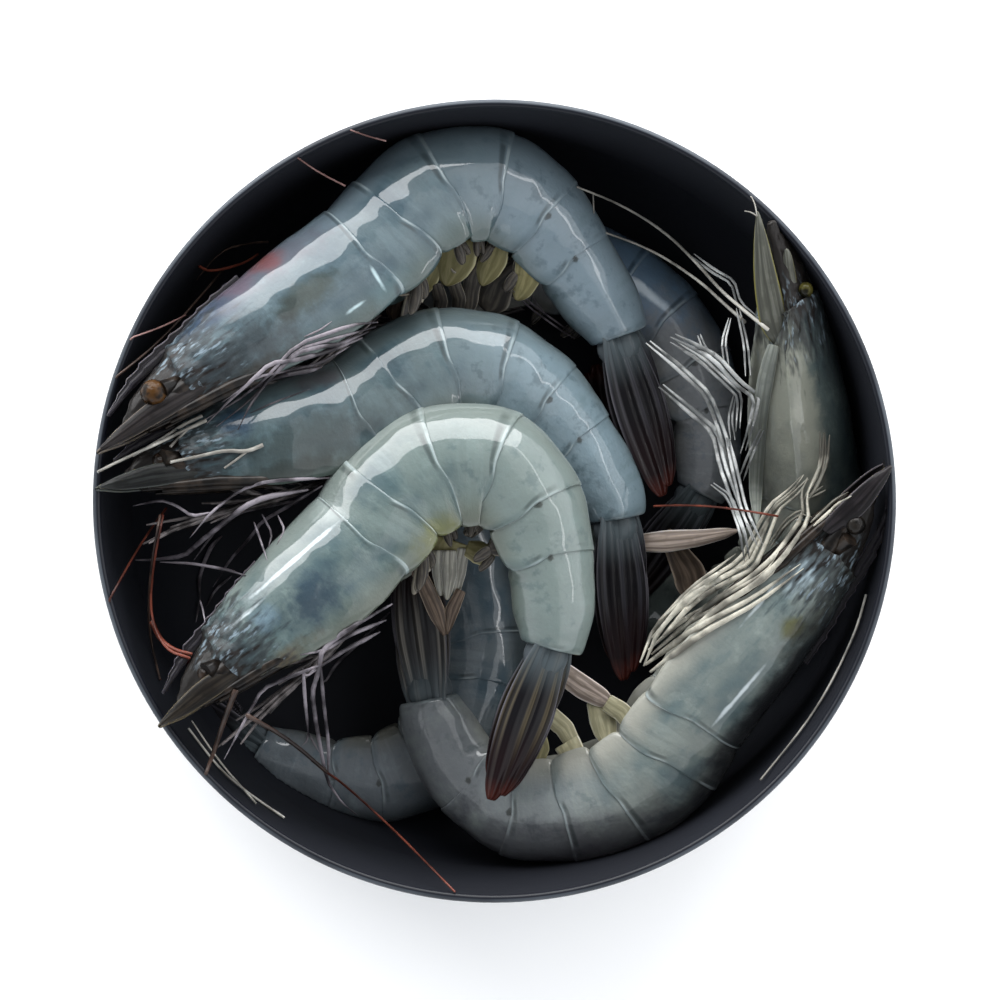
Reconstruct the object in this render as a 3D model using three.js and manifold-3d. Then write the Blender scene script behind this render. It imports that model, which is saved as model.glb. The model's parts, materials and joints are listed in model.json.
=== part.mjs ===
// Bowl of raw shrimp: seven whole shrimp heaped in a dark round bowl, their heads up against its rim.
// Millimetres, +Z up. The origin is on the bowl's axis, in the plane of its foot.
import * as THREE from 'three';
import { mergeVertices } from 'three/addons/utils/BufferGeometryUtils.js';
import Module from 'manifold-3d';

const wasm = await Module();
wasm.setup();

// Bowl: a flat foot, a round corner, a steep wall and a rolled lip.
const RIM_RADIUS = 80;
const BOWL_HEIGHT = 54;
const FOOT_RADIUS = 42;
const WALL = 2.6;
const FLOOR = 3;
const LIP_RADIUS = 1.6;
const CORNER_HEIGHT = 25;
const CORNER_RADIUS_OUT = 76.8;
const BOWL_SIDES = 38;

// Smallest distance kept between neighbouring pieces.
const GAP = 0.35;

// Features finer than this are smoothed away where pieces join.
const FINEST = 0.03;

// One shrimp stretched out straight. Places along it are counted from the rear edge of its head shield,
// towards the head as positive and towards the tail as negative.
const HEAD_FRONT = 55;
const ORBIT = 45;
const SEGMENTS = [10, 12, 11.3, 11, 10.5, 18.5];
const TAIL_LENGTH = 28;
const PLATE_STEP = 0.55;
const BODY_SIDES = 12;

// Half sizes of the body at a few places: place, up to the back, down to the belly, out to a side.
const BODY_SIZES = [
  [55, 1.2, 1.8, 1.3],
  [45, 3.8, 4.4, 3.8],
  [33, 7.2, 8.2, 6.6],
  [18, 9.7, 10.0, 8.3],
  [2, 10.5, 10.4, 8.8],
  [-22, 10.6, 11.4, 8.6],
  [-45, 9.2, 9.6, 7.3],
  [-57, 8.0, 7.8, 6.2],
  [-73.3, 5.0, 4.6, 4.0],
];

// Where each shrimp lies. place is the rear edge of its head shield. headings are the directions in which
// its horn, its head shield, its six segments and its tail run, seen from above, towards the tail. pitch and
// roll are given for the head, the middle and the tail: pitch is the rise towards the tail, and roll turns
// the belly up from lying flat on the right side. legs and paddles are how many show, reach is how far the
// legs stand off, spread legs lie out to the side, and a hidden shrimp lies mostly under the others.
const HEAP = {
  shrimp_c: {
    place: [-26.2, -8.5, 49], size: 1.0, girth: 1.16, head: 0.84, colour: 0x97a39d,
    headings: [45, 41, 60, 36, 4, -48, -76, -86, -110], pitch: [-12, -2, -4], roll: [0, 0, 0],
    legs: 5, paddles: 5, reach: 1,
  },
  shrimp_b: {
    place: [-28.8, 17, 42.5], size: 1.0, girth: 1.05, head: 0.88, colour: 0x8796a0,
    headings: [20, 15, 38, 28, -6, -34, -50, -60, -86], pitch: [-15, -14, -3], roll: [0, 0, 0],
    legs: 5, paddles: 5, reach: 1,
  },
  shrimp_a: {
    place: [-26.8, 47.8, 42.5], size: 1.02, girth: 1.08, head: 1.0, colour: 0x8796a0,
    headings: [54, 35, 46, 45, 6, -36, -54, -57, -76], pitch: [-15.5, -15, -3], roll: [0, 0, 0],
    legs: 5, paddles: 5, reach: 1,
  },
  shrimp_d: {
    place: [39.6, -41.8, 37], size: 1.02, girth: 1.06, head: 1.0, colour: 0x9aa4a4,
    headings: [-122, -130, -118, -136, -163, 183, 146, 117, 97], pitch: [-14, -14, 2], roll: [4, 0, 0],
    legs: 5, paddles: 5, reach: 1.35,
  },
  shrimp_e: {
    place: [64.2, 2.2, 28], size: 1.0, girth: 1.04, head: 1.0, colour: 0x94a09e,
    headings: [-71, -82, -95, -112, -140, -175, 155, 120, 95], pitch: [-26, -24, 0], roll: [42, 20, 0],
    legs: 5, paddles: 3, hidden: true, spread: true,
  },
  shrimp_f: {
    place: [7.2, 48.9, 13.5], size: 0.92, girth: 1.03, head: 0.95, colour: 0x75858f,
    headings: [8, 5, -15, -25, -38, -55, -75, -90, -125], pitch: [0, 0, 0], roll: [0, 0, 0],
    legs: 3, paddles: 3, hidden: true, reach: 1,
  },
  shrimp_g: {
    place: [-3.5, -27.5, 13], size: 0.88, girth: 1.1, head: 0.95, colour: 0x8d999d,
    headings: [-82, -82, -95, -108, -135, -160, 175, 160, 150], pitch: [0, 0, 0], roll: [0, 0, 0],
    legs: 3, paddles: 5, hidden: true, reach: 1,
  },
};

const lerp = THREE.MathUtils.lerp;
const degToRad = THREE.MathUtils.degToRad;

// Value at a place along the shrimp from knots of [place, value], places falling. It stays level past both ends.
function between(knots, place) {
  if (place >= knots[0][0]) return knots[0][1];
  for (let i = 1; i < knots.length; i++) {
    const [nearPlace, nearValue] = knots[i - 1];
    const [farPlace, farValue] = knots[i];
    if (place >= farPlace) {
      return lerp(farValue, nearValue, (place - farPlace) / (nearPlace - farPlace));
    }
  }
  return knots[knots.length - 1][1];
}

// The same, with smooth shoulders at the knots.
function smoothBetween(knots, place) {
  if (place >= knots[0][0]) return knots[0][1];
  for (let i = 1; i < knots.length; i++) {
    if (place >= knots[i][0]) {
      const share = (place - knots[i][0]) / (knots[i - 1][0] - knots[i][0]);
      const before = knots[Math.max(i - 2, 0)][1];
      const after = knots[Math.min(i + 1, knots.length - 1)][1];
      const [near, far] = [knots[i - 1][1], knots[i][1]];
      const slopeFar = (near - after) / 2;
      const slopeNear = (before - far) / 2;
      const a = 2 * far - 2 * near + slopeFar + slopeNear;
      const b = 3 * near - 3 * far - 2 * slopeFar - slopeNear;
      return ((a * share + b) * share + slopeFar) * share + far;
    }
  }
  return knots[knots.length - 1][1];
}

const BACK = BODY_SIZES.map(([place, back]) => [place, back]);
const BELLY = BODY_SIZES.map(([place, , belly]) => [place, belly]);
const SIDE = BODY_SIZES.map(([place, , , side]) => [place, side]);

// Places of the seven joints along the straight shrimp, from the head shield's rear edge to the tail's root.
const JOINTS = SEGMENTS.reduce((places, length) => [...places, places[places.length - 1] - length], [0]);
const TAIL_ROOT = JOINTS[JOINTS.length - 1];

// The line that a shrimp's body follows, as a function that gives the place of a point which is along, up to
// the back and out to the left side by so many millimetres of a shrimp of full size.
function pose(shrimp) {
  const middles = SEGMENTS.map((length, i) => JOINTS[i] - length / 2);
  const shieldFront = ORBIT - 8;
  const headingPlaces = [HEAD_FRONT, shieldFront, ...middles, TAIL_ROOT - 4];
  const headings = shrimp.headings.map((heading, i) => [headingPlaces[i], heading]);
  headings.splice(2, 0, [2, shrimp.headings[1]]);
  for (let i = 1; i < headings.length; i++) {
    while (headings[i][1] - headings[i - 1][1] > 180) headings[i][1] -= 360;
  }
  const knots = (values) => [[4, values[0]], [JOINTS[3], values[1]], [TAIL_ROOT, values[2]]];
  const direction = (place) => {
    const heading = degToRad(between(headings, place));
    const pitch = degToRad(between(knots(shrimp.pitch), place));
    return new THREE.Vector3(
      Math.cos(heading) * Math.cos(pitch),
      Math.sin(heading) * Math.cos(pitch),
      Math.sin(pitch),
    );
  };
  const step = 1;
  const stretch = (place) => shrimp.size * (place > 0 ? shrimp.head : 1);
  const walk = (end) => {
    const points = [new THREE.Vector3(...shrimp.place)];
    const sign = Math.sign(end);
    for (let at = 0; Math.abs(at) < Math.abs(end); at += sign * step) {
      const middle = at + (sign * step) / 2;
      const move = direction(middle).multiplyScalar(-sign * step * stretch(middle));
      points.push(points[points.length - 1].clone().add(move));
    }
    return points;
  };
  const forward = walk(80);
  const rearward = walk(-120);
  const up = new THREE.Vector3(0, 0, 1);
  return (along, toBack = 0, toLeft = 0) => {
    const points = along > 0 ? forward : rearward;
    const index = Math.min(Math.abs(along) / step, points.length - 1.001);
    const low = Math.floor(index);
    const point = points[low].clone().lerp(points[low + 1], index - low);
    const ahead = direction(along).negate();
    const roll = degToRad(between(knots(shrimp.roll), along));
    const flatLeft = up.clone().addScaledVector(ahead, -up.dot(ahead)).normalize();
    const flatBack = ahead.clone().cross(flatLeft);
    const left = flatLeft.clone().multiplyScalar(Math.cos(roll)).addScaledVector(flatBack, Math.sin(roll));
    const back = flatBack.clone().multiplyScalar(Math.cos(roll)).addScaledVector(flatLeft, -Math.sin(roll));
    return point.addScaledVector(back, toBack * shrimp.size).addScaledVector(left, toLeft * shrimp.size);
  };
}

// A closed tube of unit radius and length whose points are moved by a rule. along runs from 0 to 1, reach is
// 1 on the tube and 0 at the middle of its ends.
function sleeve(sides, steps, rule) {
  const tube = new THREE.CylinderGeometry(1, 1, 1, sides, steps);
  tube.deleteAttribute('normal');
  tube.deleteAttribute('uv');
  const geometry = mergeVertices(tube, 1e-4);
  const points = geometry.attributes.position;
  for (let i = 0; i < points.count; i++) {
    const reach = Math.hypot(points.getX(i), points.getZ(i)) < 0.5 ? 0 : 1;
    const angle = Math.atan2(points.getZ(i), points.getX(i));
    const point = rule(0.5 - points.getY(i), angle, reach);
    points.setXYZ(i, point.x, point.y, point.z);
  }
  return geometry;
}

// A three.js geometry as a solid that can be joined and cut.
function solid(geometry) {
  return new wasm.Manifold(new wasm.Mesh({
    numProp: 3,
    vertProperties: new Float32Array(geometry.attributes.position.array),
    triVerts: new Uint32Array(geometry.index.array),
  }));
}

// Places of the body's rings: a few along the head shield, then the front edge, middle and rear edge of
// each plate, the front edge lying a step lower, tucked under the plate before it. A shrimp that lies
// mostly hidden does without the middles.
function bodyRings(hidden) {
  const shield = [HEAD_FRONT, 50, ORBIT, 38, 28, 16, 0.6];
  const rings = shield.map((place) => ({ place, drop: 0 }));
  for (let i = 0; i < SEGMENTS.length; i++) {
    const front = JOINTS[i];
    const rear = JOINTS[i + 1];
    rings.push({ place: front, drop: PLATE_STEP });
    if (!hidden) rings.push({ place: lerp(front, rear, 0.5), drop: 0.1 });
    rings.push({ place: rear + 0.6, drop: 0 });
  }
  rings.push({ place: TAIL_ROOT, drop: PLATE_STEP });
  return rings;
}

// The body from the front of the head to the root of the tail. The back is a little keeled.
function body(at, shrimp, grow) {
  const rings = bodyRings(shrimp.hidden);
  const last = rings.length - 1;
  return solid(sleeve(BODY_SIDES, last, (along, angle, reach) => {
    const index = Math.round(along * last);
    const { place, drop } = rings[index];
    const end = index === 0 ? grow : index === last ? -grow : 0;
    const up = Math.cos(angle);
    const tall = (smoothBetween(up > 0 ? BACK : BELLY, place) - drop) * shrimp.girth + grow;
    const wide = (smoothBetween(SIDE, place) - drop) * shrimp.girth + grow;
    const keel = 1 - 0.12 * Math.max(0, up) ** 2;
    return at(place + end, reach * tall * up, reach * wide * Math.sin(angle) * keel);
  }));
}

// A limb, horn or blade: a tube through points of the posed shrimp, wide across one direction and thin across
// the other. across holds points beside the first ones, towards which the tube is wide.
function strand(points, across, sides, wide, thin, grow) {
  const last = points.length - 1;
  return solid(sleeve(sides, last, (along, angle, reach) => {
    const index = Math.round(along * last);
    const ahead = points[Math.min(index + 1, last)].clone().sub(points[Math.max(index - 1, 0)]).normalize();
    const side = across.clone().addScaledVector(ahead, -across.dot(ahead)).normalize();
    const other = ahead.clone().cross(side);
    const end = index === 0 ? -grow : index === last ? grow : 0;
    return points[index].clone()
      .addScaledVector(ahead, end)
      .addScaledVector(side, reach * (wide(along) + grow) * Math.cos(angle))
      .addScaledVector(other, reach * (thin(along) + grow) * Math.sin(angle));
  }));
}

// Direction towards the back of the shrimp at a place.
function backAt(at, place) {
  return at(place, 1, 0).sub(at(place, 0, 0)).normalize();
}

// The horn over the eyes, from its crest on the head shield to its tip.
function horn(at, grow) {
  const points = [at(22, 8.6), at(36, 6.8), at(46, 4.2), at(61, 2.8)];
  return strand(points, backAt(at, ORBIT), 6, (along) => lerp(2.2, 0.5, along), (along) => lerp(1.1, 0.5, along), grow);
}

// A broad scale beside the horn, one on each side.
function scale(at, side, grow) {
  const points = [at(43, 0.5, side * 2), at(49, 0.3, side * 3), at(55, 0, side * 3.2), at(60, 0.6, side * 2.8)];
  const wide = (along) => lerp(2.4, 1.0, along ** 2);
  return strand(points, backAt(at, ORBIT), 6, wide, () => 0.6, grow);
}

// An eye on its short stalk.
function eye(at, side, grow) {
  const centre = at(46.5, 2.2, side * 4.4);
  const ball = new THREE.SphereGeometry(2.6 + grow, 6, 4);
  ball.deleteAttribute('normal');
  ball.deleteAttribute('uv');
  const geometry = mergeVertices(ball, 1e-4);
  geometry.translate(centre.x, centre.y, centre.z);
  return solid(geometry);
}

// The tail: a middle spike and two pairs of long blades, folded together and slightly fanned out.
function tail(at, grow) {
  const blades = [
    { from: 2.6, to: 3.2, side: 0, length: 0.82, wide: 1.9 },
    { from: 1.0, to: 2.6, side: 2.4, length: 1, wide: 3.6 },
    { from: 1.0, to: 2.6, side: -2.4, length: 1, wide: 3.6 },
    { from: -1.6, to: -3.4, side: 1.6, length: 0.96, wide: 3.4 },
    { from: -1.6, to: -3.4, side: -1.6, length: 0.96, wide: 3.4 },
  ];
  return blades.map(({ from, to, side, length, wide }) => {
    const shares = [-0.12, 0.3, 0.75, 1];
    const points = shares.map((share) => at(
      TAIL_ROOT - share * length * TAIL_LENGTH,
      lerp(from, to, Math.max(share, 0)),
      side * lerp(1, 0.75, Math.max(share, 0)),
    ));
    const width = (along) => wide * [0.6, 0.95, 1.05, 0.45][Math.round(along * 3)];
    return strand(points, backAt(at, TAIL_ROOT - 6), 6, width, () => 0.8, grow);
  });
}

// Walking legs on the left side, folded forward along the belly, or spread away from it.
function legs(at, name, grow) {
  const { legs: count, spread, reach } = HEAP[name];
  const thickness = (along) => lerp(1.1, 0.6, along);
  return Array.from({ length: count }, (_, i) => {
    const root = 32 - 5.6 * i;
    const points = spread
      ? [at(root, -6.5, 0), at(root + 6, -15, -5.5), at(root + 15, -18.5, -15), at(root + 21, -19, -25 + i)]
      : [at(root, -6.5, 2), at(root - 8, -10.6 * reach, 4.5), at(root + 8, -11.8 * reach, 4),
        at(root + 20, -10.6 * reach, 1)];
    return strand(points, backAt(at, 0), 3, thickness, thickness, grow);
  });
}

// Swimming legs under the first five segments: a short stalk that widens to a paddle.
function paddles(at, name, grow) {
  return Array.from({ length: HEAP[name].paddles }, (_, i) => {
    const root = lerp(JOINTS[i], JOINTS[i + 1], 0.5);
    const points = [at(root, -6, 2.5), at(root + 1, -12, 3.4), at(root - 1, -16, 3), at(root - 4, -19.5, 2)];
    const width = (along) => 1.1 + 1.5 * Math.sin(Math.PI * along);
    return strand(points, at(root, 0).sub(at(root - 1, 0)).normalize(), 4, width, () => 0.8, grow);
  });
}

const join = (solids) => solids.reduce((whole, next) => whole.add(next));

// The largest piece of a cut solid, without loose scraps or sealed hollows.
function largest(whole) {
  return whole.decompose().reduce((best, next) => (next.volume() > best.volume() ? next : best));
}

// A solid as a named mesh.
function mesh(name, whole, colour, roughness) {
  const { vertProperties, triVerts } = whole.getMesh();
  const geometry = new THREE.BufferGeometry();
  geometry.setAttribute('position', new THREE.BufferAttribute(new Float32Array(vertProperties), 3));
  geometry.setIndex(new THREE.BufferAttribute(new Uint32Array(triVerts), 1));
  geometry.computeVertexNormals();
  const made = new THREE.Mesh(geometry, new THREE.MeshStandardMaterial({ color: colour, roughness, metalness: 0 }));
  made.name = name;
  return made;
}

// The bowl, turned from the outline of its wall. grow makes its wall thicker on the inside.
function bowl(grow) {
  const lipCentre = new THREE.Vector2(RIM_RADIUS - LIP_RADIUS, BOWL_HEIGHT - LIP_RADIUS);
  const wallTop = lipCentre.y - 1.2;
  const outerCorner = new THREE.QuadraticBezierCurve(
    new THREE.Vector2(FOOT_RADIUS, 0),
    new THREE.Vector2(CORNER_RADIUS_OUT - 4, 1),
    new THREE.Vector2(CORNER_RADIUS_OUT, CORNER_HEIGHT),
  );
  const innerCorner = new THREE.QuadraticBezierCurve(
    new THREE.Vector2(CORNER_RADIUS_OUT - WALL - grow, CORNER_HEIGHT),
    new THREE.Vector2(CORNER_RADIUS_OUT - 7 - grow, FLOOR + grow + 0.5),
    new THREE.Vector2(FOOT_RADIUS + 4, FLOOR + grow),
  );
  const lip = [-0.25, 0.1, 0.5, 0.9, 1.2].map((turn) => new THREE.Vector2(
    lipCentre.x + (LIP_RADIUS + grow) * Math.cos(turn * Math.PI),
    lipCentre.y + (LIP_RADIUS + grow) * Math.sin(turn * Math.PI),
  ));
  const outline = [
    new THREE.Vector2(0, 0),
    ...outerCorner.getPoints(5),
    new THREE.Vector2(lipCentre.x + 0.2, wallTop),
    ...lip,
    ...innerCorner.getPoints(5),
    new THREE.Vector2(0, FLOOR + grow),
  ];
  const lathe = new THREE.LatheGeometry(outline, BOWL_SIDES);
  lathe.deleteAttribute('normal');
  lathe.deleteAttribute('uv');
  lathe.rotateX(Math.PI / 2);
  const merged = mergeVertices(lathe, 1e-4);
  const corners = merged.index.array;
  const kept = [];
  for (let i = 0; i < corners.length; i += 3) {
    const [a, b, c] = [corners[i], corners[i + 1], corners[i + 2]];
    if (a !== b && b !== c && c !== a) kept.push(a, b, c);
  }
  merged.setIndex(kept);
  return solid(merged);
}

// Body, head and tail of a shrimp in one, and its legs apart, so that the legs can give way to its neighbours.
function shrimpParts(name, grow) {
  const shrimp = HEAP[name];
  const at = pose(shrimp);
  const core = [
    body(at, shrimp, grow),
    horn(at, grow),
    ...[1, -1].flatMap((side) => [scale(at, side, grow), eye(at, side, grow)]),
    ...tail(at, grow),
  ];
  return { core: join(core), limbs: join([...legs(at, name, grow), ...paddles(at, name, grow)]) };
}

const group = new THREE.Group();
group.name = 'bowl_of_shrimp';
group.add(mesh('bowl', bowl(0), 0x1b1f29, 0.4));

const names = Object.keys(HEAP);
const parts = Object.fromEntries(names.map((name) => [name, shrimpParts(name, 0)]));
const grown = Object.fromEntries(names.map((name) => [name, shrimpParts(name, GAP)]));
const grownBowl = bowl(GAP);

// The shrimp that lie higher keep their shape, and the lower ones are pressed in where they touch.
names.forEach((name, order) => {
  const higher = names.slice(0, order);
  const others = names.filter((other) => other !== name);
  let core = parts[name].core.subtract(grownBowl);
  higher.forEach((other) => {
    core = core.subtract(grown[other].core);
  });
  let limbs = parts[name].limbs.subtract(grownBowl);
  others.forEach((other) => {
    limbs = limbs.subtract(grown[other].core);
  });
  higher.forEach((other) => {
    limbs = limbs.subtract(grown[other].limbs);
  });
  const whole = largest(largest(core).add(limbs)).asOriginal().simplify(FINEST);
  group.add(mesh(name, largest(whole), HEAP[name].colour, 0.35));
});

export default group;
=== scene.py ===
"""Bowl of raw shrimp: seven whole shrimp heaped in a dark round bowl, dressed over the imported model."""

import json
import math
import random

import bmesh
import bpy
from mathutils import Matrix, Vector
from mathutils.bvhtree import BVHTree

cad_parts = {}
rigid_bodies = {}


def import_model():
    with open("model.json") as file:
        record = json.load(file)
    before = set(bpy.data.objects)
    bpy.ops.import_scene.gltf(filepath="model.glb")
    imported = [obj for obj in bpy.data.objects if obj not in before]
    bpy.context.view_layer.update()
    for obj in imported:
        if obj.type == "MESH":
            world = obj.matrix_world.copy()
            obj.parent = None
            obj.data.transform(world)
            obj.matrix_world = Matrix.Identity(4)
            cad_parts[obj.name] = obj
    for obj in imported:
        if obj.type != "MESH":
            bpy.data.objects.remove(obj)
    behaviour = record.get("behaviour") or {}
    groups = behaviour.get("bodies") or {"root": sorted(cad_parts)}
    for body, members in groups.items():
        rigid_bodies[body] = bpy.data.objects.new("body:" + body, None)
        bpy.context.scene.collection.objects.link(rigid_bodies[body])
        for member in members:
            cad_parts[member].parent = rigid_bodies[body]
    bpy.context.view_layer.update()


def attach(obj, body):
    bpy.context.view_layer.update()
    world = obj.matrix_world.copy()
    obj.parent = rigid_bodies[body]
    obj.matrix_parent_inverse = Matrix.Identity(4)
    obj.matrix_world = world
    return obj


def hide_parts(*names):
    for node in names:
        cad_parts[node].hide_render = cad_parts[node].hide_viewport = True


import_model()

bl_info = {
    "name": "Bowl of raw shrimp",
    "version": (1, 0, 0),
    "blender": (4, 5, 0),
    "location": "View3D > Sidebar > Shrimp",
    "description": "Models a dark bowl heaped with whole raw shrimp",
    "category": "Add Mesh",
}

MM = 0.001

# The bowl, in millimetres. Its rim and its height are settings.
BOWL_LIP = 0.8
BOWL_WALL = 2.6
BOWL_FLOOR = 3.0
BOWL_FOOT = 42
BOWL_INSET = 3.2
BOWL_STEPS = 192
# What would pass through the bowl is pressed to this far inside it.
PRESSED_GAP = 0.15

# One shrimp stretched out straight, in millimetres. Places along it are counted from the rear edge of its
# head shield, positive towards the head and negative towards the tail. Its head points to -X, its back to
# +Y and its left side to +Z.
HEAD_FRONT = 55
SHIELD_FRONT = 41
HORN_END = 37
SEGMENTS = (10, 12, 11.3, 11, 10.5, 18.5)
JOINTS = tuple(-sum(SEGMENTS[:count]) for count in range(len(SEGMENTS) + 1))
TAIL_ROOT = JOINTS[-1]
# The line that a body is bent along starts ahead of its head and ends behind its tail.
ROUTE_FRONT = 80
ROUTE_REAR = -120

# Half sizes of the body at a few places: place, up to the back, down to the belly, out to a side.
BODY_SIZES = (
    (60, 0.6, 1.4, 0.8),
    (56, 2.4, 2.6, 1.9),
    (50, 4.6, 3.9, 3.3),
    (44, 6.3, 5.2, 4.5),
    (33, 8.8, 8.0, 6.6),
    (18, 10.4, 10.0, 8.3),
    (2, 11.2, 10.6, 8.8),
    (-12, 11.7, 11.2, 8.8),
    (-24, 11.0, 11.5, 8.6),
    (-45, 9.3, 9.8, 7.3),
    (-57, 7.9, 7.9, 6.2),
    (-66, 7.3, 7.1, 5.7),
    (-73.3, 5.8, 5.4, 4.5),
)

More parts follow.
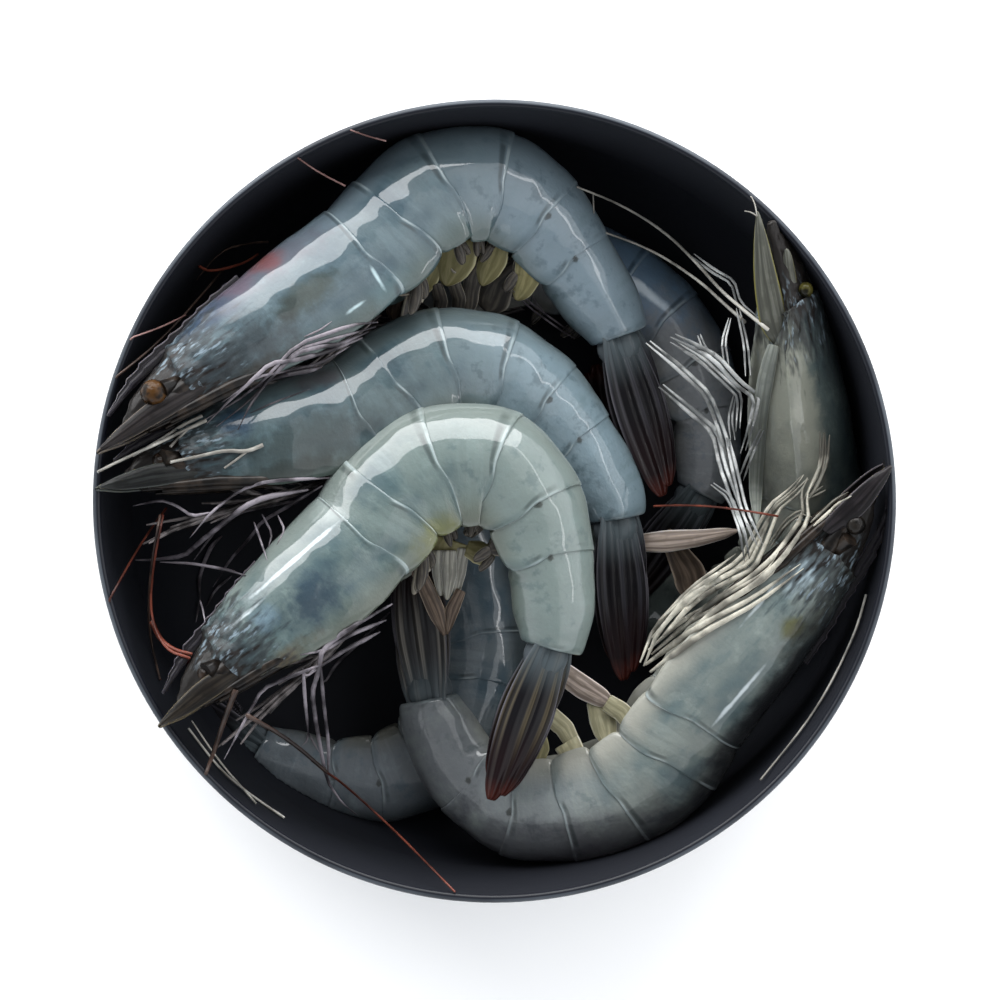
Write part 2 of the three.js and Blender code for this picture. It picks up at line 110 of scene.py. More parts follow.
# The shrimp of the heap.
# place: the rear edge of its head shield. size, girth, head: its scale, and those of its thickness and head.
# headings: the directions in which its horn, its head shield, its six segments and its tail run towards the
# tail, seen from above in degrees.
# pitch, roll: the rise towards the tail, and the turn of the belly upwards from lying flat on the right
# side, each in degrees for the head, the middle and the tail.
# back, side, belly, rear: colours of the shell, rear being that of its last segments; shrimp_d's dark back
# is painted shade.
# scale: veins, body and rim of the scales beside its horn. fan: web and ribs of its tail.
# eye: place, up, out and radius. eye_colours: dark and amber.
# spots: stains of the shell, thin pale streaks and patches of painted highlight, and dark bands of painted
# shade, as place, up, length, height, colour and strength.
# without: parts of the straight shrimp that it doesn't get a copy of. shorter: for a part that is shorter
# than the others', the place that stays and the share of its length.
HEAP = {
    "shrimp_c": {
        "place": (-26.2, -8.5, 49), "size": 1.0, "girth": 1.14, "head": 0.84,
        "headings": (45, 41, 60, 36, 4, -48, -76, -86, -110), "pitch": (-10, -2, -4), "roll": (0, 0, 0),
        "back": "#626a66", "side": "#566260", "belly": "#4d5146", "rear": "#67726f",
        "scale": ("#12100e", "#26221d", "#504838"), "eye": (49, 1.0, 2.4, 1.9),
        "eye_colours": ("#120e0b", "#2a2019"),
        "fan": ("#0c0b0e", "#4b4436"),
        "spots": (
            (19, -1.5, 9, 4.5, "#1c2e3c", 0.8),
            (38, 1, 8, 5, "#333d42", 0.5),
            (38, -6.5, 13, 2.2, "#46371f", 0.75),
            # A pale patch at the rear top of the head shield: painted highlight.
            (1, 8.5, 5, 3.5, "#7f8987", 0.5),
            (-11, -10, 9, 3.5, "#5a5c30", 0.7),
            (31, 1.5, 4, 2.2, "#5d7180", 0.5),
            # The next two thin pale streaks are painted highlights.
            (15, 5.6, 13, 0.4, "#b9c3c6", 0.8),
            (33, 4, 5, 0.35, "#b9c3c6", 0.7),
        ),
    },
    "shrimp_b": {
        "place": (-28.8, 17, 42.5), "size": 1.0, "girth": 1.05, "head": 0.825,
        "headings": (20, 15, 38, 28, -6, -34, -50, -60, -86), "pitch": (-15, -14, -3), "roll": (0, 0, 0),
        "back": "#4a5456", "side": "#425053", "belly": "#3a433c", "rear": "#6c7d85",
        "scale": ("#101111", "#232524", "#4b4f4c"), "eye": (49, 1.0, 2.4, 1.9),
        "eye_colours": ("#120e0b", "#2a2019"),
        "fan": ("#0c0b0e", "#2a2a2f"),
        "spots": (
            (14, -2.5, 22, 5, "#2a3230", 0.6),
            (30, 4, 5, 3, "#1f3347", 0.7),
            (20, -7, 16, 2, "#1d211e", 0.6),
            (6, 8.5, 8, 2, "#3a2c2e", 0.5),
        ),
    },
    "shrimp_a": {
        "place": (-26.8, 47.8, 42.5), "size": 1.02, "girth": 1.08, "head": 1.0,
        "headings": (41, 35, 46, 45, 6, -36, -54, -57, -73), "pitch": (-15.5, -15, -3), "roll": (0, 0, 0),
        "back": "#56636b", "side": "#4a585d", "belly": "#39443f", "rear": "#6c7b84",
        "scale": ("#110f0f", "#272424", "#544d46"), "eye": (50, 1.9, 4.0, 2.6),
        "eye_colours": ("#130c06", "#3a2611"),
        "fan": ("#0c0b0e", "#333237"),
        "spots": (
            (16.5, 9.6, 3.6, 2.4, "#7c2c14", 0.8),
            (16, 0, 9, 3, "#2b2d1c", 0.6),
            (32, 7.5, 8, 3, "#1c2a3f", 0.75),
            (17, 8.6, 16, 3.2, "#46434c", 0.6),
            # The next two pale streaks are painted highlights.
            (1.5, -4.5, 0.5, 2.6, "#b9cfd3", 0.7),
            (8, -6.6, 2.2, 0.4, "#b9cfd3", 0.6),
            (31, -2, 14, 5.5, "#2b2d2e", 0.65),
            (24, 9, 4, 2.4, "#5a4a55", 0.5),
            (36, -6, 12, 2, "#241c12", 0.7),
            (1, -8, 4, 4, "#5a757c", 0.25),
        ),
    },
    "shrimp_d": {
        "place": (39.6, -41.8, 37), "size": 1.02, "girth": 1.06, "head": 0.98,
        "headings": (-124, -130, -118, -136, -163, 183, 146, 117, 97), "pitch": (-14, -14, 2),
        # shrimp_d's dark back colour is painted shade.
        "roll": (4, 0, 0), "back": "#2d2d30", "side": "#69706c", "belly": "#908f85", "rear": "#747a7c",
        "scale": ("#0f0e0f", "#232022", "#4d494d"), "eye": (51.3, 0.9, 3.6, 2.0),
        "eye_colours": ("#0a0908", "#1b1815"),
        "fan": ("#333334", "#77736c"),
        "without": ("paddles",), "shorter": {"scales": (65, 0.7)},
        "spots": (
            (28, 3.4, 3.2, 2.0, "#4c4b1d", 0.8),
            (38, -1.6, 5, 3, "#93a3aa", 0.8),
            # The next two thin pale streaks are painted highlights.
            (29, -4, 6, 0.4, "#c2cccf", 0.8),
            (10, 4, 8, 0.4, "#c2cccf", 0.8),
            # A long dark band along the back of the head: painted shade.
            (25, 9.5, 40, 3.4, "#131416", 0.85),
            (-34, 6, 22, 5, "#37333a", 0.6),
            (32, 5.5, 12, 2.2, "#2b2820", 0.6),
            (-62, 1, 16, 8, "#4a4950", 0.4),
        ),
    },
    "shrimp_e": {
        "place": (64.2, 2.2, 28), "size": 1.0, "girth": 1.04, "head": 1.0,
        "headings": (-74, -82, -95, -112, -140, -175, 155, 120, 95), "pitch": (-26, -24, 0),
        "roll": (42, 20, 0), "back": "#1e2427", "side": "#434b49", "belly": "#74766e", "rear": "#4b5250",
        "scale": ("#232527", "#3d4042", "#55564f"), "eye": (45.5, 0.3, 4.6, 1.5),
        "eye_colours": ("#12110a", "#3a3719"),
        "fan": ("#0c0b0e", "#333237"),
        "without": ("paddles", "face", "scales"), "shorter": {"horn": (22, 0.69)},
        "spots": (
            (26, -6, 30, 3.5, "#85867a", 0.6),
            (30, 3, 14, 4, "#31383b", 0.6),
        ),
    },
    "shrimp_f": {
        "place": (7.2, 48.9, 13.5), "size": 0.92, "girth": 1.03, "head": 0.95,
        "headings": (8, 5, -15, -25, -38, -55, -75, -90, -125), "pitch": (0, 0, 0), "roll": (0, 0, 0),
        "back": "#52626f", "side": "#6c7074", "belly": "#6a6963", "rear": "#6c6f72",
        "scale": ("#101111", "#232524", "#4b4f4c"), "eye": (49, 1.5, 3.4, 2.2),
        "eye_colours": ("#120e0b", "#2a2019"),
        "fan": ("#0c0b0e", "#333237"),
        "spots": (
            (-20, 4, 16, 10, "#5f788f", 0.85),
            # A thin pale streak of painted highlight.
            (-26, 3, 7, 1.2, "#c5d3dc", 0.7),
        ),
    },
    "shrimp_g": {
        "place": (-3.5, -27.5, 13), "size": 0.88, "girth": 1.1, "head": 0.95,
        "headings": (-82, -82, -95, -108, -135, -160, 175, 160, 150), "pitch": (0, 0, 0), "roll": (0, 0, 0),
        "back": "#343b3e", "side": "#626b70", "belly": "#545247", "rear": "#5f656a",
        "scale": ("#101111", "#232524", "#4b4f4c"), "eye": (49, 1.5, 3.4, 2.2),
        "eye_colours": ("#120e0b", "#2a2019"),
        "fan": ("#0c0b0e", "#333237"),
        "without": ("paddles",),
        "spots": (),
    },
}

# Courses of the legs that lie on the heap, seen from the camera at the height of the rim: radius at the
# start and at the end, and places in millimetres.
LEG_COURSES = {
    "shrimp_a": (
        (0.62, 0.3, ((-23.1, 35.4), (-28.2, 34.9), (-39.1, 31.1), (-46, 23.6), (-51.4, 19.6), (-57.5, 16))),
        (0.5, 0.28, (
            (-23.5, 34.5), (-32.6, 31.9), (-38.9, 30.1), (-44.4, 24.4), (-48.8, 19.6), (-55.1, 14.7),
        )),
        (0.75, 0.3, (
            (-25, 33.5), (-30.6, 31.1), (-34.9, 30.5), (-38.9, 29.5), (-44.8, 24), (-48.4, 19),
            (-50.8, 14.1),
        )),
        (0.85, 0.35, (
            (-26.2, 32.3), (-33.5, 29.5), (-38.5, 28.1), (-44.4, 27.3), (-48.8, 23.2), (-52, 20.4),
            (-56.9, 15.4),
        )),
        (0.55, 0.25, (
            (-28.6, 30.7), (-34.9, 27.1), (-40.5, 25.9), (-47, 24.6), (-50.4, 22), (-53.9, 19.6),
        )),
        (0.8, 0.35, ((-34.1, 26.7), (-36.1, 25.9), (-41.7, 24.9), (-45.2, 23.8), (-48.4, 21.6))),
        (0.28, 0.18, ((-37.7, 32.5), (-34.5, 33.9), (-32.2, 35.6))),
        (0.3, 0.18, ((-48.4, 17.4), (-43.5, 19.6), (-36.5, 22.2))),
        (0.3, 0.24, ((3.5, 41.8), (7, 38.2), (13, 33.9), (16, 32.1))),
        (0.3, 0.24, ((4.3, 41.6), (9, 37.8), (13.4, 34.7), (15.8, 32.9))),
        (0.26, 0.2, ((7, 41.4), (8.4, 39), (10, 37.4))),
    ),
    "shrimp_b": (
        (0.6, 0.3, ((-32.6, 4.6), (-44.8, 4), (-50.4, 2.2), (-56.3, -2.4), (-60.3, -7.3))),
        (0.85, 0.55, (
            (-36.9, 2.2), (-45.4, 0.8), (-49.4, -1), (-54.3, -4.9), (-58.3, -8.1), (-61.5, -10.9),
            (-68.2, -11.7), (-71, -11.7),
        )),
        (0.6, 0.3, (
            (-38.5, 0.2), (-46, -1.2), (-50.4, -2.2), (-55.1, -5.7), (-57.5, -8.9), (-59.5, -11.7),
        )),
        (0.62, 0.3, ((-34.1, 3), (-40.1, -0.6), (-46, -4), (-48.4, -7.3), (-52.4, -11.7), (-55.7, -17))),
        (0.62, 0.42, ((-53.9, -6.9), (-55.9, -8.7), (-57.5, -12.1), (-58.5, -15.6), (-58.3, -19.6))),
        (0.34, 0.18, ((-58.3, -19.6), (-58.7, -21.6), (-59.1, -24))),
        (0.34, 0.18, ((-58.3, -19.6), (-57.7, -21.6), (-57.3, -24))),
        (0.5, 0.3, ((-49.2, -14.8), (-53.4, -13.5), (-60.3, -12.3), (-66.2, -12.1))),
        (0.36, 0.22, ((-47.6, -4.2), (-46, -8.7), (-45, -11.7))),
        (0.36, 0.22, ((-46, -2.6), (-44, -6.5), (-44.8, -9.3))),
        (0.36, 0.22, ((-42.9, -2.8), (-41.5, -5.7), (-43.1, -8.7))),
        (0.45, 0.3, ((-55.9, -2.2), (-59.9, -3), (-63.1, -0.8), (-66.2, 0.2), (-71.6, -1))),
    ),
    "shrimp_c": (
        (0.8, 0.42, (
            (-20.3, -20.4), (-28.6, -25.1), (-34.1, -29.3), (-34.9, -33.9), (-36.1, -37.8),
            (-35.3, -44.4), (-33.2, -55.4), (-30.2, -59.8), (-27.2, -62.2),
        )),
        (0.55, 0.4, ((-20.7, -22), (-26.2, -27.5), (-31.4, -32.3), (-33.7, -36.2), (-34.7, -34.3))),
        (0.62, 0.4, ((-21.5, -23.6), (-28.2, -26.3), (-33.4, -29.5), (-38.5, -30.5))),
        (0.55, 0.42, ((-34.5, -31.1), (-33.9, -39.4), (-32.8, -48.3), (-33, -55.4))),
        (0.7, 0.45, ((-22.7, -25.9), (-29.6, -29.5), (-34.9, -32.9), (-37.3, -34.8), (-37.9, -33.1))),
        (0.55, 0.4, ((-37.9, -33.1), (-37.5, -39.4), (-36.9, -45.7))),
        (0.3, 0.18, ((-36.9, -45.7), (-37.1, -47.5), (-38.1, -48.5))),
        (0.34, 0.2, ((-36.9, -45.7), (-35.9, -47.7), (-34.7, -49.7))),
        (0.66, 0.26, ((-34.1, -32.3), (-40.5, -34.8), (-46, -37.2), (-49.2, -43), (-53.5, -51.1))),
        (0.4, 0.25, ((-52, -14.8), (-55.3, -17.6), (-57.1, -21))),
    ),
    "shrimp_e": (
        (1, 0.55, (
            (35.4, 32.7), (39.1, 30.9), (43.9, 28.3), (48.4, 23.2), (52, 20.6), (51, 15.6), (49.2, 9.7),
        )),
        (0.8, 0.4, ((35.2, 31.7), (40.7, 28.3), (46.2, 23.2), (48.6, 20.8), (48.2, 14.1))),
        (0.8, 0.6, ((30.4, 31.5), (36.7, 26.3), (42.3, 21), (45.1, 13.7), (47.2, 6.1), (49.4, -0.8))),
        (0.9, 0.6, ((33, 22.8), (38.7, 18), (43.7, 13.7), (45.1, 7.1), (47, 1.8), (50.6, -8.1))),
        (0.6, 0.5, ((43.1, 3.4), (46.6, 0.8), (49, -5.7), (50, -11.7))),
        (0.6, 0.4, ((39.3, 48.7), (43.1, 45.7), (47.2, 43.4), (48.4, 39), (52.6, 35.4))),
        (0.4, 0.35, ((46.6, 36.2), (45.3, 31.5), (46, 26.7))),
        (0.5, 0.4, ((48.2, 38.2), (49.8, 30.9), (50.2, 24.8))),
        (0.55, 0.4, ((53, 14.1), (50.6, 9.1), (48.8, 4.2))),
        (0.7, 0.5, ((46.2, 12.1), (47.6, 6.1), (49.4, -1.8), (52.6, -8.7))),
        (0.5, 0.3, ((40.5, 32.9), (41.5, 30.3), (43.1, 28.7))),
        (0.45, 0.3, ((47.6, 21), (46.6, 16.4), (47.2, 12.1))),
    ),
    "shrimp_d": (
        (1.3, 0.6, (
            (31.8, -27.5), (38.7, -19.6), (45.5, -15.6), (51, -12.9), (53.4, -7.7), (55.7, -1.4),
            (59.7, 1.8), (61.7, 4.8),
        )),
        (1, 0.55, (
            (33.2, -24), (40.7, -17.2), (49, -12.1), (51.8, -6.7), (55, -1), (58.5, 1.8), (61.3, 4.6),
        )),
        (1.5, 0.7, (
            (35.9, -27.5), (43.9, -20.4), (51, -16), (56.5, -10.9), (61.7, -3.4), (61.3, 1.4),
            (62.5, 4.2),
        )),
        (0.8, 0.6, ((61.7, 0.2), (63.7, 3.8), (65.3, 7.7), (65.8, 13.3))),
        (0.7, 0.45, ((62.5, 1.8), (64.5, 5.3), (65.1, 9.7), (64.9, 13.7))),
        (1, 0.6, ((30.8, -29.9), (37.5, -24), (47, -18.8), (54.2, -14.5), (56.9, -10.1))),
        (1.6, 0.5, ((30.4, -33.1), (40.7, -25.5), (51.8, -19.6), (60.9, -12.9))),
        (0.6, 0.4, ((54.6, -8.7), (57.7, -4.2), (60.5, -2.2), (62.5, -2.8))),
        (0.5, 0.35, ((61.7, 0.6), (64.1, 1.8), (65.3, 2.6))),
        (0.8, 0.4, ((62.9, -4.6), (65.6, -2.2), (67.6, -0.2), (70.4, 1.4))),
        (0.9, 0.6, ((29.2, -32.3), (32, -25.5), (38.7, -18), (48.2, -10.9))),
    ),
}

# Courses of the feelers, given in the same way for each colour.
FEELER_COURSES = {
    "shrimp_a": {
        "dark": (
            (0.26, 0.24, ((-75.1, 24.4), (-68.2, 29.9), (-62.3, 35.8), (-54.1, 45.3))),
            (0.22, 0.22, ((-59.1, 43.8), (-54.3, 49.7), (-48.4, 51.1), (-44.8, 51.3))),
        ),
        "red": (
            (0.3, 0.26, ((-58.5, 46.5), (-56.3, 45.3), (-49.8, 46.9), (-46.8, 48.9))),
        ),
        "rose": (
            (0.16, 0.2, ((-38.9, 67.9), (-34.9, 65.1), (-29.6, 62.4))),
            (0.15, 0.18, ((-28.6, 73.5), (-25.4, 72.3), (-21.5, 71.3))),
            (0.17, 0.19, ((-72.6, 32.1), (-66.2, 34.3), (-61.1, 36.8))),
        ),
    },
    "shrimp_b": {
        "pale": (
            (0.26, 0.4, ((-78.7, 5.7), (-73.5, 8.3), (-64, 12.7), (-57.1, 16))),
            (0.22, 0.4, ((-71.6, 8.9), (-66.2, 12.1), (-61.5, 15.2), (-57.9, 16.8))),
            (0.3, 0.22, ((-64.2, 10.7), (-62.1, 12.9), (-60.3, 14.5))),
            (0.3, 0.42, ((-64.2, 7.7), (-58.3, 8.9), (-53.2, 10.1), (-49.2, 9.7), (-45.8, 11.1))),
            (0.28, 0.2, ((-49.2, 9.7), (-51.2, 8.1), (-53.5, 6.5))),
        ),
        "red": (
            (0.22, 0.24, ((-76.5, -20), (-72.2, -12.1), (-68.2, -5.7), (-65, -1.4))),
            (0.22, 0.3, ((-65.6, -2.8), (-67.8, -13.7), (-68.2, -23), (-65.2, -29.5), (-60.3, -31.1))),
        ),
        "dark": (
            (0.26, 0.24, ((-66.2, -2.8), (-68.2, -13.7), (-68.6, -25.5), (-66.2, -35.4))),
        ),
    },
    "shrimp_c": {
        "pale": (
            (0.18, 0.22, ((-59.9, -43.6), (-54.3, -51.9), (-49, -57.8), (-47.2, -59.9))),
            (0.22, 0.26, ((-60.6, -45), (-53.9, -53.8), (-47, -59.1), (-41.6, -62.7))),
        ),
        "red": (
            (0.26, 0.2, ((-33.2, -53.7), (-29.6, -56.2), (-19.9, -65.1), (-13.6, -71.5), (-7.8, -77.4))),
            (0.55, 0.3, ((-67.8, -24), (-66.2, -27.5), (-63.4, -29.5), (-59.9, -30.3))),
        ),
        "dark": (
            (0.45, 0.4, ((-49, -42.4), (-40.5, -47.3), (-33.2, -53.7))),
            (0.6, 0.35, ((-51.2, -37.4), (-53.5, -43.4), (-55.3, -48.9), (-57.3, -54.4))),
        ),
    },
    "shrimp_d": {
        "pale": (
            (0.22, 0.26, ((52.7, -55.2), (61.3, -44.7), (66.4, -36.7), (71.6, -25.8), (73.6, -18.5))),
        ),
    },
    "shrimp_e": {
        "pale": (
            (0.2, 0.38, (
                (16.3, 62.2), (24.9, 58.8), (33.6, 53.5), (39.9, 47.3), (44.7, 41.8), (48.4, 38.6),
                (54.2, 33.9),
            )),
            (0.2, 0.36, ((22.1, 53.1), (28.8, 50.7), (34.6, 47.7), (41.3, 43), (45.1, 39.4), (49.6, 35.4))),
            (0.16, 0.14, ((19.5, 60.8), (19.7, 57))),
            (0.12, 0.16, ((49.6, 57.4), (50.8, 57.2), (52, 56.4))),
            (0.12, 0.16, ((50.8, 60.4), (51.6, 58.8), (52, 56.4))),
        ),
        "red": (
            (0.2, 0.22, ((31.6, -1), (38.7, -0.8), (46.6, -1.4), (56.1, -3))),
        ),
    },
}

# Soft blades that hang from bellies and heads: colour, height at the root and at the tip, and places with
# half widths. One without heights lies on what is under it.
FLAPS = {
    "shrimp_a": (
        ("olive", (35.5, 32.5), (
            (-13.9, 50.1, 4.2), (-13.9, 46.1, 3.9), (-14.5, 43, 2.9), (-14.9, 40.4, 1.2),
        )),
        ("olive", (36.5, 33.5), ((-7.6, 52.1, 4.6), (-8, 48.1, 4.6), (-8.8, 45.3, 3.6), (-9.6, 42.6, 1.4))),
        ("olive", (35.5, 32.5), ((1.1, 51.7, 1.8), (-0.1, 48.1, 2.9), (-1.5, 45.3, 2.5), (-2.5, 42.6, 0.9))),
        ("olive", (34.5, 32), ((6.4, 48.1, 2.2), (6.6, 44.6, 2.8), (5.5, 41.8, 2.2), (4.3, 39.8, 1.0))),
        ("grey", (34, 30), ((-1.5, 49.3, 1.2), (-4, 44.8, 1.8), (-4.8, 41.4, 1.8), (-5, 37.4, 1.8))),
        ("grey", (33, 29), ((-13.8, 42.6, 1.2), (-16.1, 40.2, 1.2), (-17.9, 36.6, 1.4))),
        ("grey", (33.5, 29), ((-11.6, 43, 1.2), (-10.6, 39.8, 1.4), (-11.2, 35.8, 1.2))),
        ("grey", (34, 29), ((-8.4, 44.2, 1.2), (-7, 40.2, 1.4), (-7.2, 36.2, 1.4))),
        ("tan", (31, 27), ((-17.1, 44.2, 1.8), (-18.3, 39.8, 2.6), (-19.5, 35.4, 2.6))),
        ("grey", (31.5, 28), ((4.3, 46.5, 2), (0.7, 43, 3.2), (-1.3, 37.4, 4))),
    ),
    "shrimp_c": (
        ("pale", (44.5, 41), ((-10.8, -9.7, 1.4), (-10.8, -14.1, 1.6), (-10.6, -18.8, 0.6))),
        ("pale", (45, 41.5), ((-9, -9.7, 1.4), (-9, -14.5, 1.6), (-9.4, -19.6, 0.6))),
        ("pale", (45, 41), ((-6.2, -9.3, 1.2), (-7, -14.1, 1.4), (-7.8, -19.2, 0.6))),
        ("tan", (43, 39), ((-16.3, -11.3, 1.2), (-14.1, -16, 1.6), (-11.4, -22, 1.8), (-9.8, -26.7, 0.6))),
        ("tan", (42.5, 38.5), ((-6.6, -17.6, 1), (-8.4, -21.6, 1.4), (-9.4, -26.3, 0.4))),
        ("olive", (45, 42.5), ((-5.6, -9.3, 1.6), (-3.3, -10.1, 2.4), (-0.1, -11.7, 1.8))),
        ("olive", (45, 43), ((-8.4, -7.7, 4), (-9.2, -10.1, 3.6), (-9.6, -12.1, 2))),
    ),
    "shrimp_d": (
        ("rosy", (33, 33), ((12.2, -33.1, 2.2), (17.7, -37, 2.4), (23.3, -40.2, 1.8))),
        ("cream", (34, 35), ((22.1, -39.8, 1.8), (25.3, -41.8, 2), (28.4, -46.5, 1))),
        ("cream", (32, 33.5), ((20.5, -39.4, 2.4), (21.5, -43.4, 2.8), (22.5, -48.1, 2))),
        ("cream", (31, 33), ((10.2, -41.8, 2), (13.8, -44.9, 2), (16.5, -49.7, 1.4))),
        ("olive", (31, 33), ((7.6, -44.9, 2.2), (8.6, -48.9, 2.4), (8.2, -52.5, 1.4))),
        ("cream", (33, 35), ((14.2, -47.7, 2.8), (16.1, -50.9, 2.4), (17.7, -53.7, 1.2))),
    ),
    "shrimp_e": (
        ("horny", (47, 58), (
            (56.6, 31.5, 1.6), (55.4, 35, 2.9), (54.3, 40.5, 2.7), (53.4, 46, 2.2), (52.7, 52, 1.4),
            (52.1, 57.4, 0.4),
        )),
        ("horny", (50, 54), ((59.3, 39.5, 0.9), (58.5, 45, 1.1), (57.8, 50, 0.7))),
        ("glassy", None, (
            (55.3, 31, 1.2), (53.7, 24.5, 1.7), (52.6, 17, 1.5), (52, 9, 1.5), (51.7, 2, 1.4), (52, -5, 1.0),
        )),
    ),
    "shrimp_f": (
        ("rosy", (24, 27), (
            (27.5, -8.4, 1.6), (34, -8, 2.3), (40.5, -7.3, 1.7), (45.5, -6.4, 1.1), (48.4, -5.8, 0.3),
        )),
        ("tan", (24, 20), ((33.6, -6.1, 1.4), (35.9, -9.7, 2.2), (38.7, -14.5, 3.4), (39.5, -19.6, 3.2))),
    ),
}


def lerp(near, far, share):
    """The value at a share of the way from one value to another."""
    return near + (far - near) * share


def clamp(value, low=0.0, high=1.0):
    """The value, kept within its limits."""
    return max(low, min(high, value))


def smooth_step(value, low, high):
    """0 below low, 1 above high, and a smooth rise between."""
    share = clamp((value - low) / (high - low))
    return share * share * (3 - 2 * share)


def between(knots, place):
    """Value at a place along the shrimp from knots of (place, value), places falling."""
    if place >= knots[0][0]:
        return knots[0][1]
    for (near_place, near), (far_place, far) in zip(knots, knots[1:]):
        if place >= far_place:
            return lerp(far, near, (place - far_place) / (near_place - far_place))
    return knots[-1][1]


def smooth_between(knots, place):
    """The same, with smooth shoulders at the knots."""
    if place >= knots[0][0]:
        return knots[0][1]
    for i in range(1, len(knots)):
        if place >= knots[i][0]:
            share = (place - knots[i][0]) / (knots[i - 1][0] - knots[i][0])
            before = knots[max(i - 2, 0)][1]
            after = knots[min(i + 1, len(knots) - 1)][1]
            near, far = knots[i - 1][1], knots[i][1]
            slope_far, slope_near = (near - after) / 2, (before - far) / 2
            a = 2 * far - 2 * near + slope_far + slope_near
            b = 3 * near - 3 * far - 2 * slope_far - slope_near
            return ((a * share + b) * share + slope_far) * share + far
    return knots[-1][1]


BACK = [(place, back) for place, back, _, _ in BODY_SIZES]
BELLY = [(place, belly) for place, _, belly, _ in BODY_SIZES]
SIDE = [(place, side) for place, _, _, side in BODY_SIZES]


def linear(code):
    """Turns an sRGB hex colour into the linear colour that nodes take."""
    parts = [int(code[i:i + 2], 16) / 255 for i in (1, 3, 5)]
    return (*(c / 12.92 if c <= 0.04045 else ((c + 0.055) / 1.055) ** 2.4 for c in parts), 1.0)


# Modelling


def only(piece):
    """Selects one piece alone and makes it the active one."""
    bpy.ops.object.select_all(action="DESELECT")
    piece.select_set(True)
    bpy.context.view_layer.objects.active = piece


def apply_modifier(piece, kind, **settings):
    """Adds a modifier to a piece and applies it."""
    only(piece)
    modifier = piece.modifiers.new(kind.title(), kind)
    for key, value in settings.items():
        setattr(modifier, key, value)
    bpy.ops.object.modifier_apply(modifier=modifier.name)


def shape(piece, rule):
    """Moves each vertex to the place that a rule gives for it, in millimetres."""
    for vertex in piece.data.vertices:
        vertex.co = Vector(rule(vertex.co / MM)) * MM


def store_rest(piece):
    """Keeps each vertex's place on the straight shrimp, in millimetres, for the patterns of its finish."""
    rest = piece.data.attributes.new("rest", "FLOAT_VECTOR", "POINT")
    places = [value for vertex in piece.data.vertices for value in vertex.co / MM]
    rest.data.foreach_set("vector", places)


def join(pieces, name):
    """Makes one piece of several."""
    only(pieces[0])
    for piece in pieces:
        piece.select_set(True)
    bpy.ops.object.join()
    pieces[0].name = name
    return pieces[0]


def copy_of(piece, name):
    """A copy of a piece with a mesh of its own."""
    copy = piece.copy()
    copy.data = piece.data.copy()
    copy.name = name
    bpy.context.collection.objects.link(copy)
    return copy


def headings_of(shrimp):
    """Knots of (place, heading) along a shrimp."""
    middles = [front - length / 2 for front, length in zip(JOINTS, SEGMENTS)]
    horn, shield, *rear = shrimp["headings"]
    knots = list(zip((HEAD_FRONT, HORN_END, 2, *middles, TAIL_ROOT - 4), (horn, shield, shield, *rear)))
    for i in range(1, len(knots)):
        while knots[i][1] - knots[i - 1][1] > 180:
            knots[i] = (knots[i][0], knots[i][1] - 360)
    gathered = knots[:3]
    for (near, heading), (far, after) in zip(knots[2:], knots[3:]):
        # Most of the turn from one segment to the next is made at the joint between them.
        for share, turned in ((0.26, 0.12), (0.74, 0.88)):
            gathered.append((lerp(near, far, share), lerp(heading, after, turned)))
        gathered.append((far, after))
    return gathered


def three_knots(values):
    """Knots of (place, value) for a value given at the head, the middle and the tail."""
    return list(zip((4, JOINTS[3], TAIL_ROOT), values))


def route_of(name):
    """The line that a shrimp's body follows, as a curve that starts ahead of its head."""
    shrimp = HEAP[name]
    headings, pitches = headings_of(shrimp), three_knots(shrimp["pitch"])

    def walk(end):
        points = [Vector(shrimp["place"])]
        sign = 1 if end > 0 else -1
        for step in range(abs(end)):
            middle = sign * (step + 0.5)
            heading = math.radians(between(headings, middle))
            pitch = math.radians(between(pitches, middle))
            tailwards = Vector((
                math.cos(heading) * math.cos(pitch), math.sin(heading) * math.cos(pitch), math.sin(pitch),
            ))
            stretch = shrimp["size"] * (shrimp["head"] if middle > 0 else 1)
            points.append(points[-1] - sign * stretch * tailwards)
        return points

    points = walk(ROUTE_FRONT)[::-1] + walk(ROUTE_REAR)[1:]
    data = bpy.data.curves.new("route", "CURVE")
    data.dimensions = "3D"
    data.twist_mode = "Z_UP"
    data.use_deform_bounds = False
    spline = data.splines.new("POLY")
    spline.points.add(len(points) - 1)
    rolls = three_knots(shrimp["roll"])
    for step, (knot, point) in enumerate(zip(spline.points, points)):
        knot.co = (*(point * MM), 1)
        knot.tilt = -math.radians(between(rolls, ROUTE_FRONT - step))
    route = bpy.data.objects.new("route", data)
    bpy.context.collection.objects.link(route)
    return route


def pick(test):
    """Selects the vertices, and what lies between them, whose place passes a test, in edit mode."""
    bpy.ops.mesh.select_all(action="DESELECT")
    body = bmesh.from_edit_mesh(bpy.context.object.data)
    for vertex in body.verts:
        vertex.select_set(bool(test(vertex.co)))
    body.select_flush(True)
    bmesh.update_edit_mesh(bpy.context.object.data)


def bend(piece, name, girth=1.0):
    """Bends a piece of the straight shrimp into the pose of one shrimp of the heap."""
    shrimp = HEAP[name]
    size, head = shrimp["size"], shrimp["head"]
    only(piece)
    bpy.ops.object.mode_set(mode="EDIT")
    bpy.ops.mesh.select_all(action="SELECT")
    bpy.ops.transform.resize(value=(size, size * girth, size * girth), center_override=(0, 0, 0))
    pick(lambda at: at.x < 0)
    bpy.ops.transform.resize(value=(head, 1, 1), center_override=(0, 0, 0))
    bpy.ops.mesh.select_all(action="SELECT")
    bpy.ops.transform.translate(value=(ROUTE_FRONT * size * head * MM, 0, 0))
    bpy.ops.object.mode_set(mode="OBJECT")
    route = route_of(name)
    apply_modifier(piece, "CURVE", object=route, deform_axis="POS_X")
    bpy.data.objects.remove(route)
    return piece


